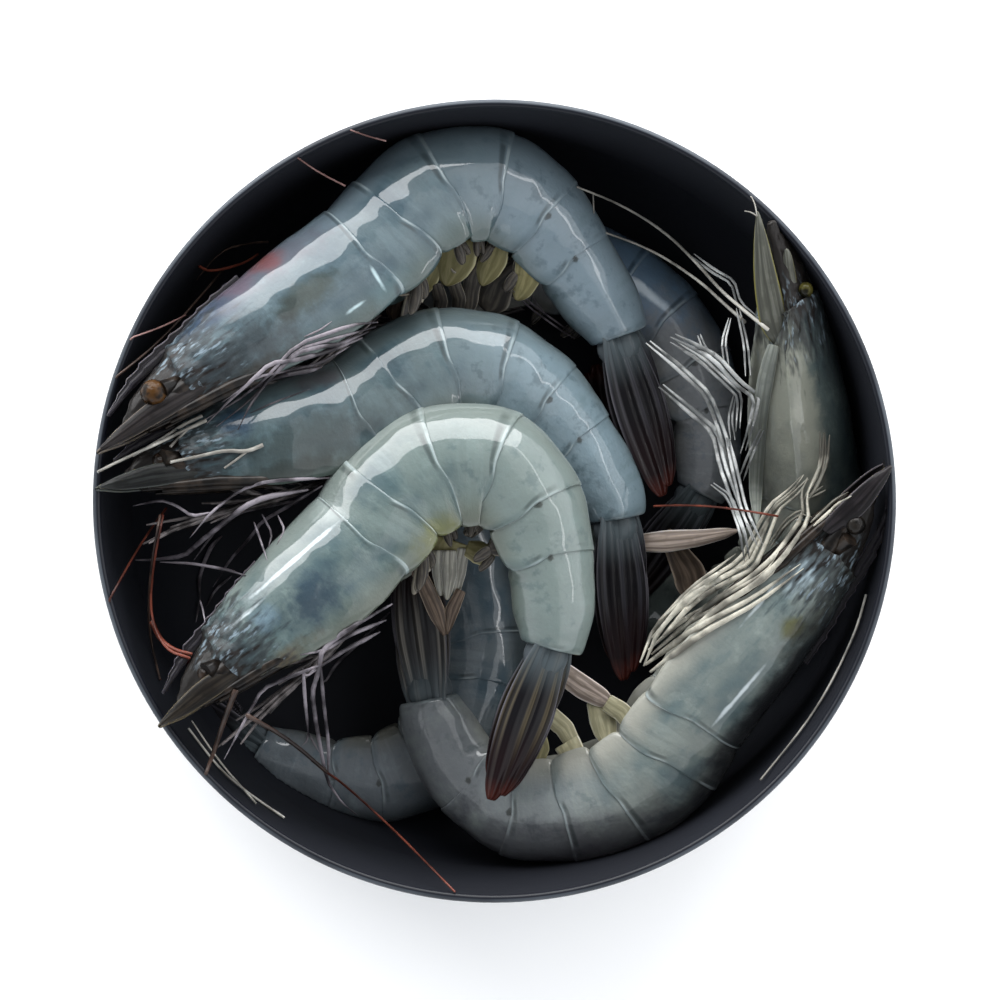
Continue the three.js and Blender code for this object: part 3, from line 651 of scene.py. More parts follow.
def round_corner(start, control, end, count=10):
    """Points of a round corner from start to end that is drawn towards control."""
    points = []
    for step in range(count + 1):
        share = step / count
        near, far = start.lerp(control, share), control.lerp(end, share)
        points.append(near.lerp(far, share))
    return points


def rim_of_bowl():
    """The radius and the height of the bowl's rim, in millimetres."""
    sizes = bpy.context.scene.shrimp_bowl
    return sizes.rim_radius / MM, sizes.height / MM


def bowl_inside():
    """The bowl's inner wall from below the lip to the floor, as points of radius and height."""
    rim, height = rim_of_bowl()
    corner = rim - BOWL_INSET
    wall = round_corner(
        Vector((rim - 2 * BOWL_LIP - 0.1, height - BOWL_LIP - 2)), Vector((corner - 0.6, 40)),
        Vector((corner - BOWL_WALL, 25)), 6,
    )
    return wall + round_corner(
        Vector((corner - BOWL_WALL - 0.2, 23)), Vector((corner - 7, BOWL_FLOOR + 0.5)),
        Vector((BOWL_FOOT + 4, BOWL_FLOOR)),
    )


def press_in(piece):
    """Presses what would pass through the bowl's wall or floor against its inside, the shorter way."""
    inside = bowl_inside()
    rim, rim_height = rim_of_bowl()
    radii = [(rim, rim_height), (rim - 2 * BOWL_LIP, rim_height)] + [(point.x, point.y) for point in inside]
    heights = [(point.y, point.x) for point in inside]

    def rule(at):
        reach = at.xy.length
        if at.z > rim_height:
            return at
        lift = between(radii, reach) + PRESSED_GAP - at.z
        push = reach + PRESSED_GAP - between(heights, at.z)
        if at.z > BOWL_FLOOR and min(lift, push) <= 0:
            return at
        if lift < push or at.z <= BOWL_FLOOR:
            return at.x, at.y, at.z + lift
        share = 1 - push / reach
        return at.x * share, at.y * share, at.z
    shape(piece, rule)


def finish_piece(piece, slot, *nodes):
    """Turns the faces outwards, smooths them, and hooks a piece onto the frame."""
    if slot == "shrimp":
        press_in(piece)
    only(piece)
    bpy.ops.object.mode_set(mode="EDIT")
    bpy.ops.mesh.select_all(action="SELECT")
    bpy.ops.mesh.remove_doubles(threshold=0.00001)
    bpy.ops.mesh.normals_make_consistent(inside=False)
    bpy.ops.object.mode_set(mode="OBJECT")
    bpy.ops.object.shade_smooth_by_angle(angle=math.radians(50))
    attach(piece, "root")
    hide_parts(*nodes)


# The shell of the straight shrimp

SHELL_SIDES = 54
PLATE_STEP = 0.32
# Small turns of the head shield and the six plates against each other, in degrees.
PLATE_TWISTS = (0, 2.0, -2.5, 2.5, -1.5, 2.0, 0)
PLEURA_TURN = math.radians(112)
# Rings ahead of the head shield, and the first ones of each plate, counted from its front.
HEAD_RINGS = (60, 59.4, 58.2, 56.8, 55, 53, 51, 49, 47, 45, 43.5, 42, SHIELD_FRONT + 0.3)
PLATE_RINGS = (0.2, 0.8, 1.6, 2.6)
# Distance to a plate's edge that stands for no edge at all.
NO_EDGE = 60
# Outline of the lower side of the shell, from where it leaves the oval, over the tip of the flap and up to
# the belly between both flaps: share of the turn, share of the half height, share of the half width.
FLAP = (
    (0.0, -0.375, 0.927), (0.2, -0.72, 0.86), (0.38, -0.97, 0.74), (0.44, -1.0, 0.68), (0.5, -0.95, 0.62),
    (0.62, -0.74, 0.58), (0.78, -0.78, 0.34), (1.0, -0.8, 0.0),
)
# How far a seam bows towards the tail, for turns from the back to the belly in degrees.
SEAM_BOW = ((180, 0.2), (150, 0.3), (128, 1.5), (108, 0.9), (88, -0.5), (60, -0.3), (0, 0.5))


def shell_rings():
    """The shell's rings from the front: place, drop below full size, and distance to its plate's edge."""
    rings = [(place, 0.3, NO_EDGE) for place in HEAD_RINGS]
    rings.append((SHIELD_FRONT + 0.4, 0.1, SHIELD_FRONT))
    for step in range(33):
        place = lerp(SHIELD_FRONT, 1.4, step / 32)
        rings.append((place, 0.0, place))
    rings += lip(0)
    for front, rear in zip(JOINTS, JOINTS[1:]):
        length = front - rear
        count = 9 if length > 15 else 4
        even = [lerp(3.8, length - 1.3, step / count) for step in range(count + 1)]
        for into in (*PLATE_RINGS, *even):
            drop = PLATE_STEP * 0.75 * max(0, 1 - 1.15 * into / length) ** 1.3
            rings.append((front - into, drop, length - into))
        if rear > TAIL_ROOT:
            rings += lip(rear)
    rings += [(TAIL_ROOT + 0.4, 0.1, 0.4), (TAIL_ROOT, 0.5, 0), (TAIL_ROOT + 0.2, 1.6, 0)]
    return rings


def lip(rear):
    """Rings of a plate's free rear edge, which stands over the next plate's front."""
    return [
        (rear + 0.7, -0.02, 0.7), (rear + 0.2, -0.03, 0.2), (rear, 0.04, 0), (rear - 0.05, 0.2, 0),
        (rear + 0.15, PLATE_STEP * 0.8, 0),
    ]


def flap_reach(place):
    """How far down the flaps reach at a place, as a share of the half height."""
    if place > 0:
        return 0.8 + 0.2 * smooth_step(place, 44, 26) * smooth_step(place, -4, 8)
    for front, rear in zip(JOINTS, JOINTS[1:]):
        if place > rear - 0.3:
            share = clamp((front - place) / (front - rear))
            return 0.84 + 0.16 * math.sin(math.pi * clamp(share * 0.94 + 0.06)) ** 0.7
    return 0.84


def shell_point(place, drop, ahead, turn):
    """A point of the shell. turn is 0 at the back, half a turn at the belly and positive on the left."""
    tall_back = smooth_between(BACK, place) - drop
    tall_belly = smooth_between(BELLY, place) - drop
    wide = smooth_between(SIDE, place) - drop
    out, lean = abs(turn), math.copysign(1, turn)
    up = math.cos(out)
    crest = 0.12 + 0.22 * smooth_step(place, 14, 34) + 0.12 * smooth_step(place, -34, -46)
    y = (tall_back if up > 0 else tall_belly) * up
    z = wide * math.sin(out) * (1 - crest * max(0, up) ** 2)
    opening = smooth_step(place, 52, 44) * smooth_step(place, -58, -53)
    if out > PLEURA_TURN:
        share = (out - PLEURA_TURN) / (math.pi - PLEURA_TURN)
        for (low, y_low, z_low), (high, y_high, z_high) in zip(FLAP, FLAP[1:]):
            if share <= high + 1e-6:
                along = (share - low) / (high - low)
                flap_y, flap_z = lerp(y_low, y_high, along), lerp(z_low, z_high, along)
                break
        flap_y = max(flap_y, -flap_reach(place)) if share < 0.56 else flap_y
        y = lerp(y, tall_belly * flap_y, opening)
        z = lerp(z, wide * flap_z, opening)
    z += 0.25 * math.exp(-((y - 1.0) ** 2)) * smooth_step(place, -56, -60)
    plate = sum(place < joint for joint in JOINTS[:6])
    twist = math.radians(PLATE_TWISTS[plate])
    y, z = y * math.cos(twist) - z * math.sin(twist) * 0.5, z * math.cos(twist) + y * math.sin(twist) * 0.5
    near_joint = min(abs(place - joint) for joint in JOINTS[:6])
    place -= between(SEAM_BOW, math.degrees(out)) * math.exp(-((near_joint / 3.5) ** 2))
    if ahead <= SHIELD_FRONT and place > 28:
        place += 3.2 * math.sin(out) * math.exp(-(((SHIELD_FRONT + 0.4 - place) / 5) ** 2))
    return -place, y, lean * z


def straight_shell():
    """The shell of the straight shrimp, drawn out ring by ring from the front of its head."""
    rings = shell_rings()
    bpy.ops.object.select_all(action="DESELECT")
    bpy.ops.mesh.primitive_circle_add(
        vertices=SHELL_SIDES, radius=MM, fill_type="NGON", rotation=(0, math.pi / 2, 0),
        enter_editmode=True,
    )
    piece = bpy.context.object
    bpy.ops.object.mode_set(mode="OBJECT")
    bpy.ops.object.transform_apply(location=True, rotation=True, scale=True)
    bpy.ops.object.mode_set(mode="EDIT")
    for index, (place, drop, ahead) in enumerate(rings):
        if index:
            bpy.ops.mesh.extrude_region_move(TRANSFORM_OT_translate={"value": (MM, 0, 0)})
        body = bmesh.from_edit_mesh(piece.data)
        edge = body.verts.layers.float.get("edge") or body.verts.layers.float.new("edge")
        turns = body.verts.layers.float.get("turn") or body.verts.layers.float.new("turn")
        for vertex in body.verts:
            if vertex.select:
                if index == 0:
                    vertex[turns] = math.atan2(vertex.co.z, vertex.co.y)
                vertex.co = Vector(shell_point(place, drop, ahead, vertex[turns])) * MM
                vertex[edge] = ahead
        bmesh.update_edit_mesh(piece.data)
    bpy.ops.object.mode_set(mode="OBJECT")
    apply_modifier(piece, "SUBSURF", levels=1, render_levels=1)
    store_rest(piece)
    front = piece.vertex_groups.new(name="front")
    for vertex in piece.data.vertices:
        front.add([vertex.index], smooth_step(-vertex.co.x / MM, 26, 42), "REPLACE")
    wrinkles = bpy.data.textures.new("wrinkles", "CLOUDS")
    wrinkles.noise_scale = 2.6 * MM
    apply_modifier(
        piece, "DISPLACE", texture=wrinkles, texture_coords="LOCAL", strength=1.3 * MM, mid_level=0.5,
        vertex_group="front",
    )
    piece.vertex_groups.clear()
    return piece


def dent(piece):
    """Presses shallow dents into a bent shell, other ones on each shrimp."""
    dents = bpy.data.textures.new("dents", "CLOUDS")
    dents.noise_scale = 9 * MM
    dents.noise_depth = 1
    apply_modifier(
        piece, "DISPLACE", texture=dents, texture_coords="LOCAL", strength=0.7 * MM, mid_level=0.5,
    )


# Blades: the horn, the scales beside it and the tail


def blade(name, rule, thickness, steps=(20, 8)):
    """A thin blade. The rule gives its middle surface from along, 0 to 1, and across, -1 to 1."""
    bpy.ops.object.select_all(action="DESELECT")
    bpy.ops.mesh.primitive_grid_add(x_subdivisions=steps[0], y_subdivisions=steps[1], size=2 * MM)
    piece = bpy.context.object
    piece.name = name
    leaf = piece.data.attributes.new("leaf", "FLOAT_VECTOR", "POINT")
    spots = [value for v in piece.data.vertices for value in ((v.co.x / MM + 1) / 2, v.co.y / MM, 0)]
    leaf.data.foreach_set("vector", spots)
    shape(piece, lambda at: rule((at.x + 1) / 2, at.y))
    apply_modifier(piece, "SOLIDIFY", thickness=thickness * MM, offset=0)
    apply_modifier(piece, "SUBSURF", levels=1, render_levels=1)
    return piece


FAN_WIDTH = ((0, 0.5), (-0.15, 0.8), (-0.42, 1.0), (-0.72, 0.92), (-0.9, 0.68), (-0.97, 0.42), (-1, 0.22))
SPIKE_WIDTH = ((0, 0.8), (-0.2, 1.0), (-0.6, 0.7), (-1, 0.12))
SCALE_BREADTH = 0.85


def tail_blade(heights, side, length, wide, outline=FAN_WIDTH):
    """One blade of the tail fan. heights are its distances towards the back at its root, middle and tip."""
    def rule(along, across):
        width = wide * smooth_between(outline, -along)
        ribs = 0.5 * (1 - across * across) + 0.22 * math.cos(2.5 * math.pi * across)
        height = smooth_between(((0, heights[0]), (-0.5, heights[1]), (-1, heights[2])), -along)
        return (
            -(TAIL_ROOT + 1.5 - along * (length + 1.5)),
            height + across * width,
            side * lerp(1, 0.7, along) + math.copysign(ribs, side) - 0.25 * across * side,
        )
    return blade("fan", rule, 0.45, (22, 12))


def straight_tail():
    """The tail of the straight shrimp: a knuckle, a middle spike and two pairs of long folded blades."""
    pieces = []
    for side in (1, -1):
        bpy.ops.object.select_all(action="DESELECT")
        bpy.ops.mesh.primitive_uv_sphere_add(
            segments=24, ring_count=16, radius=1, location=(75 * MM, -0.4 * MM, side * 1.0 * MM),
            scale=(4.4 * MM, 4.5 * MM, 2.5 * MM),
        )
        bpy.ops.object.transform_apply(location=True, rotation=True, scale=True)
        knuckle = bpy.context.object
        leaf = knuckle.data.attributes.new("leaf", "FLOAT_VECTOR", "POINT")
        spots = [v for vertex in knuckle.data.vertices for v in (0, vertex.co.y / MM / 4, 0)]
        leaf.data.foreach_set("vector", spots)
        pieces.append(knuckle)
    pieces += [
        tail_blade((2.8, 3.8, 2.8), 0.6, 21, 1.8, SPIKE_WIDTH),
        tail_blade((1.2, 1.9, 0.8), 2.1, 31, 3.1),
        tail_blade((1.2, 2.4, 1.6), -1.6, 30, 3.0),
        tail_blade((-1.4, -1.7, -0.9), 3.2, 32.5, 3.4),
        tail_blade((-1.6, -2.9, -2.4), -2.6, 29, 3.0),
    ]
    return join(pieces, "straight_tail")


def straight_horn():
    """The toothed horn over the eyes, from its crest on the head shield to its tip."""
    ridge = ((59, 4.6), (52, 6.9), (46, 8.3), (38, 9.2), (30, 10.6), (22, 11.6))
    lower = ((59, 4.2), (52, 5.2), (46, 5.8), (38, 6.2), (30, 7.0), (22, 9.0))

    def rule(along, across):
        place = lerp(22, 59, along)
        tooth = 0.55 * (along * 10 % 1) ** 2 * smooth_step(place, 24, 28) * smooth_step(place, 58, 53)
        top = between(ridge, place) + tooth
        keel = 0.5 * max(0, 1 - abs(across + 0.45) / 0.3)
        return -place, lerp(between(lower, place), top, (across + 1) / 2), keel
    return blade("horn", rule, 1.0, (80, 6))


def straight_scales():
    """The two long scales beside the horn."""
    widths = ((65, 0.3), (60, 1.7), (53, 2.6), (46, 2.6), (39, 1.6))
    middles = ((65, 0.2), (58, -0.6), (52, -1.2), (45, -2.2), (39, -3.2))
    sides = ((65, 2.0), (58, 3.4), (49, 4.3), (39, 4.2))

    def scale(side):
        def rule(along, across):
            place = lerp(39, 65, along)
            width = SCALE_BREADTH * smooth_between(widths, place)
            middle = smooth_between(middles, place)
            out = between(sides, place)
            return -place, middle + across * width, side * (out + 0.6 * (1 - across * across))
        return blade("scale", rule, 0.45, (18, 8))
    return join([scale(1), scale(-1)], "straight_scales")


def straight_paddles():
    """The swimming legs under five segments: on each side a broad stalk with two narrow paddles."""
    def part(root, side, start, end, wide, lean, out):
        def rule(along, across):
            width = wide * (0.75 + 0.35 * math.sin(math.pi * along)) * math.sqrt(max(0.05, 1 - along ** 6))
            place = root + lean * along - across * width
            return -place, lerp(start, end, along), side * (out + 0.5 * (1 - across * across))
        return blade("paddle", rule, 0.7, (6, 4))

    parts = []
    for index, (front, rear) in enumerate(zip(JOINTS[:5], JOINTS[1:6])):
        root = lerp(front, rear, 0.5)
        for side in (1, -1):
            lean = 2.5 - 1.2 * index
            parts.append(part(root, side, -6.5, -11.2, 2.3, lean * 0.4, 3.4))
            parts.append(part(root + lean * 0.4, side, -10.6, -14.6, 1.2, lean + 0.8, 3.6))
            parts.append(part(root + lean * 0.4 - 1.4, side, -10.4, -14.0, 1.1, lean - 0.6, 2.6))
    return join(parts, "straight_paddles")


def straight_face():
    """Eye stalks, feeler stalks and mouth legs around the front of the head shield."""
    lines = []
    for side in (1, -1):
        lines += [
            [(-42.5, 0.6, side * 2.2, 1.4), (-46, 1.1, side * 3.6, 1.3), (-48.6, 1.5, side * 4.5, 1.8)],
            [
                (-40, -0.6, side * 3.4, 2.0), (-45, -0.8, side * 3.6, 1.8), (-51, -0.6, side * 2.9, 1.3),
                (-56, -0.2, side * 2.2, 0.8), (-60, 0.2, side * 1.8, 0.35), (-64, 0.0, side * 1.4, 0.15),
            ],
            [
                (-16, -8.8, side * 4.0, 0.8), (-27, -7.9, side * 5.4, 1.2), (-37, -5.8, side * 5.2, 1.1),
                (-45, -4.7, side * 4.4, 0.9), (-54, -3.0, side * 3.2, 0.4),
            ],
            [
                (-22, -9.2, side * 3.4, 0.8), (-33, -7.6, side * 4.6, 0.9), (-44, -5.8, side * 4.0, 0.7),
                (-51, -4.6, side * 3.2, 0.3),
            ],
        ]
    return strands("straight_face", lines)


# Strands: legs, feelers and whiskers

# A laid strand: spacing of its knots in millimetres, its steepest fall beyond what it rests on, and how far
# its middle lies above that as a share of its radius.
STRAND_SPACING = 1.2
STRAND_FALL = 0.8
STRAND_REST = 0.8


def strands(name, lines, sides=3, flat=0.0):
    """Tapering strands in one piece, round or flat. Each line holds (x, y, z, radius) in millimetres."""
    data = bpy.data.curves.new(name, "CURVE")
    data.dimensions = "3D"
    data.twist_mode = "Z_UP"
    data.bevel_depth = MM
    data.bevel_resolution = sides
    data.extrude = flat * MM
    data.use_fill_caps = True
    for line in lines:
        spline = data.splines.new("POLY")
        spline.points.add(len(line) - 1)
        for knot, (x, y, z, radius) in zip(spline.points, line):
            knot.co = (x * MM, y * MM, z * MM, 1)
            knot.radius = radius
            knot.tilt = math.pi / 2 if flat else 0
    piece = bpy.data.objects.new(name, data)
    bpy.context.collection.objects.link(piece)
    only(piece)
    bpy.ops.object.convert(target="MESH")
    return bpy.context.object


def leg(root, side, rng):
    """A walking leg folded forward along the belly, in the straight shrimp's millimetres."""
    shift, stray = rng.uniform(-1, 1), rng.uniform(-1, 1)
    knots = (
        (root, -7.4, 3.2, 1.0), (root - 3, -9.2, 4.6, 0.8), (root - 6 + shift, -10.8, 5.2, 0.6),
        (root + 8 + shift, -12.0 + 0.6 * stray, 4.8, 0.45),
        (root + 19 + 2 * shift, -11.6 + 1.2 * stray, 3.8, 0.36),
        (root + 27 + 3 * shift, -11.4 + 2.6 * stray, 3.0, 0.18),
    )
    return [(-place, back, side * left, radius) for place, back, left, radius in knots]


def surface_so_far():
    """The surface of all that is modelled so far, for finding what lies under a place."""
    corners, faces = [], []
    for piece in bpy.context.scene.objects:
        if piece.type != "MESH":
            continue
        first = len(corners)
        corners += [vertex.co for vertex in piece.data.vertices]
        faces += [[first + index for index in face.vertices] for face in piece.data.polygons]
    return BVHTree.FromPolygons(corners, faces)


def sight_line():
    """The point over the bowl from which the courses are given, and the height at which they are given."""
    stage, rim = bpy.context.scene.shrimp_stage, bpy.context.scene.shrimp_bowl.height
    return Vector((*stage.centre, rim + stage.distance)), rim


def beside(course, near, far):
    """A course moved sideways, by as much as given at its start and at its end."""
    run = Vector(course[-1]) - Vector(course[0])
    away = Vector((-run.y, run.x)).normalized()
    last = len(course) - 1
    return [tuple(Vector(spot) + away * lerp(near, far, i / last)) for i, spot in enumerate(course)]


def laid(surface, course, start, end, knees=False):
    """A strand laid on the heap along a course, which thins from start to end and bridges gaps stiffly."""
    eye, rim = sight_line()
    lip_top = rim_of_bowl()[0] - BOWL_LIP
    corner = 0.18 if knees else 0.25
    for _ in range(1 if knees else 2):
        cut = [course[0]]
        for near, far in zip(course, course[1:]):
            cut.append(tuple(lerp(a, b, corner) for a, b in zip(near, far)))
            cut.append(tuple(lerp(b, a, corner) for a, b in zip(near, far)))
        course = (*cut, course[-1])
    spots = []
    for near, far in zip(course, course[1:]):
        count = max(1, round(math.dist(near, far) / STRAND_SPACING))
        for i in range(count):
            x, y = (lerp(a, b, i / count) for a, b in zip(near, far))
            spots.append((x, y, i == 0))
    spots.append((*course[-1], True))
    travel = [0.0]
    for near, far in zip(spots, spots[1:]):
        travel.append(travel[-1] + math.dist(near[:2], far[:2]))
    radii, heights, ways = [], [], []
    for (x, y, knot), gone in zip(spots, travel):
        share = gone / travel[-1]
        radius = lerp(start, end, share)
        if knees:
            radius *= clamp(0.3 + 3.5 * min(share, 1 - share)) * (1.06 if knot else 1)
        inside = min(1, lip_top / math.hypot(x, y)) * MM
        way = Vector((x * inside, y * inside, rim)) - eye
        hit = surface.ray_cast(eye, way)[0]
        radii.append(radius)
        heights.append((hit.z / MM if hit else 0) + STRAND_REST * radius)
        ways.append(way)
    line = []
    for way, radius, gone in zip(ways, radii, travel):
        height = max(other - STRAND_FALL * abs(gone - there) for other, there in zip(heights, travel))
        spot = eye + way * ((eye.z - height * MM) / (eye.z - rim))
        line.append((*(spot / MM), radius))
    return line


def hung_blade(name, surface, heights, outline, crown=0.5):
    """A soft blade that hangs from one height to another, or lies on what is under it without heights.
    outline gives its middle line and half widths."""
    eye, rim = sight_line()
    last = len(outline) - 1
    if heights:
        levels = [lerp(*heights, i / last) for i in range(last + 1)]
    else:
        ways = [Vector((x * MM, y * MM, rim)) - eye for x, y, _ in outline]
        levels = [surface.ray_cast(eye, way)[0].z / MM for way in ways]

    def rule(along, across):
        share = along * last
        index = min(int(share), last - 1)
        near, far = outline[index], outline[index + 1]
        x, y, width = (lerp(a, b, share - index) for a, b in zip(near, far))
        run = Vector((far[0] - near[0], far[1] - near[1])).normalized()
        width *= math.sqrt(max(0.02, 1 - max(0, (along - 0.75) / 0.25) ** 2))
        height = lerp(levels[index], levels[index + 1], share - index) + crown * (1 - across * across)
        way = Vector(((x - run.y * across * width) * MM, (y + run.x * across * width) * MM, rim)) - eye
        return (eye + way * ((eye.z - height * MM) / (eye.z - rim))) / MM
    return blade(name, rule, 0.5, (14, 6))


# Finishes

SMOOTH = {"interpolation_type": "SMOOTHSTEP"}


def node(tree, kind, inputs=None, out=0, **settings):
    """Adds a node with its settings and links and gives one of its outputs. inputs holds a value or another
    node's output for each input by name or number."""
    made = tree.nodes.new("ShaderNode" + kind)
    for key, value in settings.items():
        setattr(made, key, value)
    for key, value in (inputs or {}).items():
        if isinstance(value, bpy.types.NodeSocket):
            tree.links.new(value, made.inputs[key])
        else:
            made.inputs[key].default_value = value
    return made.outputs[out]


def new_material(name, build, *given):
    """A material. build lays its nodes from what is given and returns the inputs of its surface."""
    material = bpy.data.materials.new(name)
    material.use_nodes = True
    tree = material.node_tree
    tree.nodes.clear()
    surface = node(tree, "BsdfPrincipled", build(tree, *given))
    tree.links.new(surface, tree.nodes.new("ShaderNodeOutputMaterial").inputs["Surface"])
    return material


def coloured(tree, colour, layers):
    """A colour with further colours laid over it, each as far as its share goes."""
    for share, over in layers:
        over = linear(over) if isinstance(over, str) else over
        colour = node(tree, "Mix", {0: share, 6: colour, 7: over}, 2, data_type="RGBA")
    return colour


def shell_nodes(tree, shrimp):
    """Raw shrimp shell: thin wet chitin over translucent flesh. It gives the eye a hard wet gloss over a
    soft blue-grey depth, mottled and finely streaked, glassy grey along the back, yellower at the belly,
    with a pale line of painted highlight, a dark line of painted shade and a wedge of painted shade at each
    seam, brown streaks at the front of the head, and the given spots: stains, streaks of painted highlight
    and, on shrimp_d, a band of painted shade along the back."""
    rest = node(tree, "Attribute", None, "Vector", attribute_name="rest")
    edge = node(tree, "Attribute", None, "Fac", attribute_name="edge")
    along = node(tree, "SeparateXYZ", {0: rest}, 0)
    up = node(tree, "SeparateXYZ", {0: rest}, 1)
    clouds = node(tree, "TexNoise", {"Vector": rest, "Scale": 0.11, "Detail": 3.0})
    patches = node(tree, "TexNoise", {"Vector": rest, "Scale": 0.24, "Detail": 4.0, "Roughness": 0.6})
    fine = node(tree, "TexNoise", {"Vector": rest, "Scale": 1.3, "Detail": 2.0})
    across = node(tree, "Mapping", {"Vector": rest, "Rotation": (0, 0, 0.25), "Scale": (1, 0.16, 0.16)})
    streaks = node(tree, "TexNoise", {"Vector": across, "Scale": 0.5, "Detail": 3.0, "Roughness": 0.6})
    lengthwise = node(tree, "Mapping", {"Vector": rest, "Rotation": (0, 0, -0.1), "Scale": (0.2, 1, 1)})
    fibres = node(tree, "TexNoise", {"Vector": lengthwise, "Scale": 0.9, "Detail": 2.0})
    side = linear(shrimp["side"])
    pale = tuple(min(1, c * 1.5) for c in side)
    deep = tuple(c * k for c, k in zip(side, (0.5, 0.62, 0.7, 1)))
    in_shield = node(tree, "MapRange", {0: along, 1: 1.0, 2: -1.0}, **SMOOTH)
    on_plates = node(tree, "Math", {0: 1.0, 1: in_shield}, operation="SUBTRACT")
    pale_streaks = node(tree, "MapRange", {0: streaks, 1: 0.48, 2: 0.7, 4: 0.3}, **SMOOTH)
    dark_fibres = node(tree, "MapRange", {0: fibres, 1: 0.5, 2: 0.68, 4: 0.5}, **SMOOTH)
    raised = node(tree, "Math", {0: up, 1: node(tree, "Math", {0: clouds, 1: 5.0}, operation="MULTIPLY")})
    # The seam wedge is painted shade: dark near each seam, reaching further towards the belly.
    hollow = node(tree, "Math", {0: up, 1: -0.32}, operation="MULTIPLY")
    hollow = node(tree, "Math", {0: hollow, 1: edge}, operation="SUBTRACT")
    seam_shade_wedge = node(tree, "MapRange", {0: hollow, 1: -1.2, 2: 1.2, 4: 0.45}, **SMOOTH)
    # patchy breaks the seam lines of painted shade and painted highlight into stretches.
    patchy = node(tree, "MapRange", {0: clouds, 1: 0.42, 2: 0.6}, **SMOOTH)
    # A pale line of painted highlight just ahead of each plate's rear edge.
    rim = node(tree, "Math", {0: edge, 1: 0.25}, operation="SUBTRACT")
    rim = node(tree, "Math", {0: rim}, operation="ABSOLUTE")
    rim = node(tree, "MapRange", {0: rim, 1: 0.3, 2: 0.1, 4: 0.45}, **SMOOTH)
    # A dark line of painted shade a little further ahead of that edge.
    shade = node(tree, "Math", {0: edge, 1: 0.95}, operation="SUBTRACT")
    shade = node(tree, "Math", {0: shade}, operation="ABSOLUTE")
    shade = node(tree, "MapRange", {0: shade, 1: 0.5, 2: 0.1, 4: 0.6}, **SMOOTH)
    layers = [
        (node(tree, "MapRange", {0: clouds, 1: 0.3, 2: 0.58}, **SMOOTH), side),
        (node(tree, "MapRange", {0: along, 1: 14.0, 2: 42.0, 4: 0.9}, **SMOOTH), shrimp["rear"]),
        (node(tree, "Math", {0: pale_streaks, 1: on_plates}, operation="MULTIPLY"), pale),
        (node(tree, "Math", {0: dark_fibres, 1: in_shield}, operation="MULTIPLY"), deep),
        (node(tree, "Math", {0: in_shield, 1: 0.3}, operation="MULTIPLY"), deep),
        (node(tree, "MapRange", {0: patches, 1: 0.54, 2: 0.7, 4: 0.3}, **SMOOTH), pale),
        (node(tree, "MapRange", {0: patches, 1: 0.46, 2: 0.34, 4: 0.45}, **SMOOTH), deep),
        # The back's colour; shrimp_d's dark back is painted shade.
        (node(tree, "MapRange", {0: raised, 1: 8.0, 2: 12.0, 4: 0.85}, **SMOOTH), shrimp["back"]),
        (node(tree, "MapRange", {0: up, 1: -3.5, 2: -10.0, 4: 0.8}, **SMOOTH), shrimp["belly"]),
        # Painted shade in a wedge at each seam.
        (node(tree, "Math", {0: seam_shade_wedge, 1: on_plates}, operation="MULTIPLY"), deep),
    ]
    # Spots as given in the heap: stains, streaks and patches of painted highlight, and bands of painted
    # shade.
    for place, height, length, tall, colour, strength in shrimp["spots"]:
        near = node(tree, "Mapping", {
            "Vector": rest, "Location": (place / length, -height / tall, 0),
            "Scale": (1 / length, 1 / tall, 0),
        })
        away = node(tree, "VectorMath", {0: near}, "Value", operation="LENGTH")
        away = node(tree, "Math", {0: patches, 1: 1.6, 2: away}, operation="MULTIPLY_ADD")
        layers.append((node(tree, "MapRange", {0: away, 1: 2.1, 2: 1.1, 4: strength}, **SMOOTH), colour))
    head = node(tree, "Math", {0: fibres, 1: -34.0, 2: along}, operation="MULTIPLY_ADD")
    flecks = node(tree, "TexNoise", {"Vector": lengthwise, "Scale": 0.8, "Detail": 3.0, "Roughness": 0.65})
    flecks = node(tree, "MapRange", {0: flecks, 1: 0.54, 2: 0.68, 4: 0.7}, **SMOOTH)
    on_head = node(tree, "MapRange", {0: along, 1: -29.0, 2: -37.0}, **SMOOTH)
    before_tip = node(tree, "MapRange", {0: along, 1: -52.0, 2: -44.0}, **SMOOTH)
    on_head = node(tree, "Math", {0: on_head, 1: before_tip}, operation="MULTIPLY")
    flecks = node(tree, "Math", {0: flecks, 1: on_head}, operation="MULTIPLY")
    layers += [
        (node(tree, "MapRange", {0: head, 1: -46.0, 2: -56.0, 4: 0.8}, **SMOOTH), "#25282a"),
        (node(tree, "MapRange", {0: head, 1: -56.0, 2: -62.0, 4: 0.9}, **SMOOTH), "#191513"),
        # Seam lines in patches: a dark line of painted shade and a pale line of painted highlight.
        (node(tree, "Math", {0: shade, 1: patchy}, operation="MULTIPLY"), "#1d2526"),
        (node(tree, "Math", {0: rim, 1: patchy}, operation="MULTIPLY"), "#98a4a6"),
        (flecks, "#76858f"),
    ]
    for joint, height in ((-44.3, 0.9), (-54.8, 0.4)):
        near = node(tree, "Mapping", {"Vector": rest, "Location": (joint, -height, 0), "Scale": (1, 1, 0)})
        away = node(tree, "VectorMath", {0: near}, "Value", operation="LENGTH")
        away = node(tree, "Math", {0: fine, 1: 1.4, 2: away}, operation="MULTIPLY_ADD")
        layers.append((node(tree, "MapRange", {0: away, 1: 1.6, 2: 1.0, 4: 0.75}, **SMOOTH), "#191a14"))
    soft = node(tree, "TexNoise", {"Vector": rest, "Scale": 0.16, "Detail": 0.0})
    brim = node(tree, "MapRange", {0: edge, 1: 0.0, 2: 3.2, 3: 0.5, 4: 0.0}, **SMOOTH)
    swell = node(tree, "Math", {0: soft, 1: brim})
    dull = node(tree, "Math", {0: clouds, 1: -16.0, 2: along}, operation="MULTIPLY_ADD")
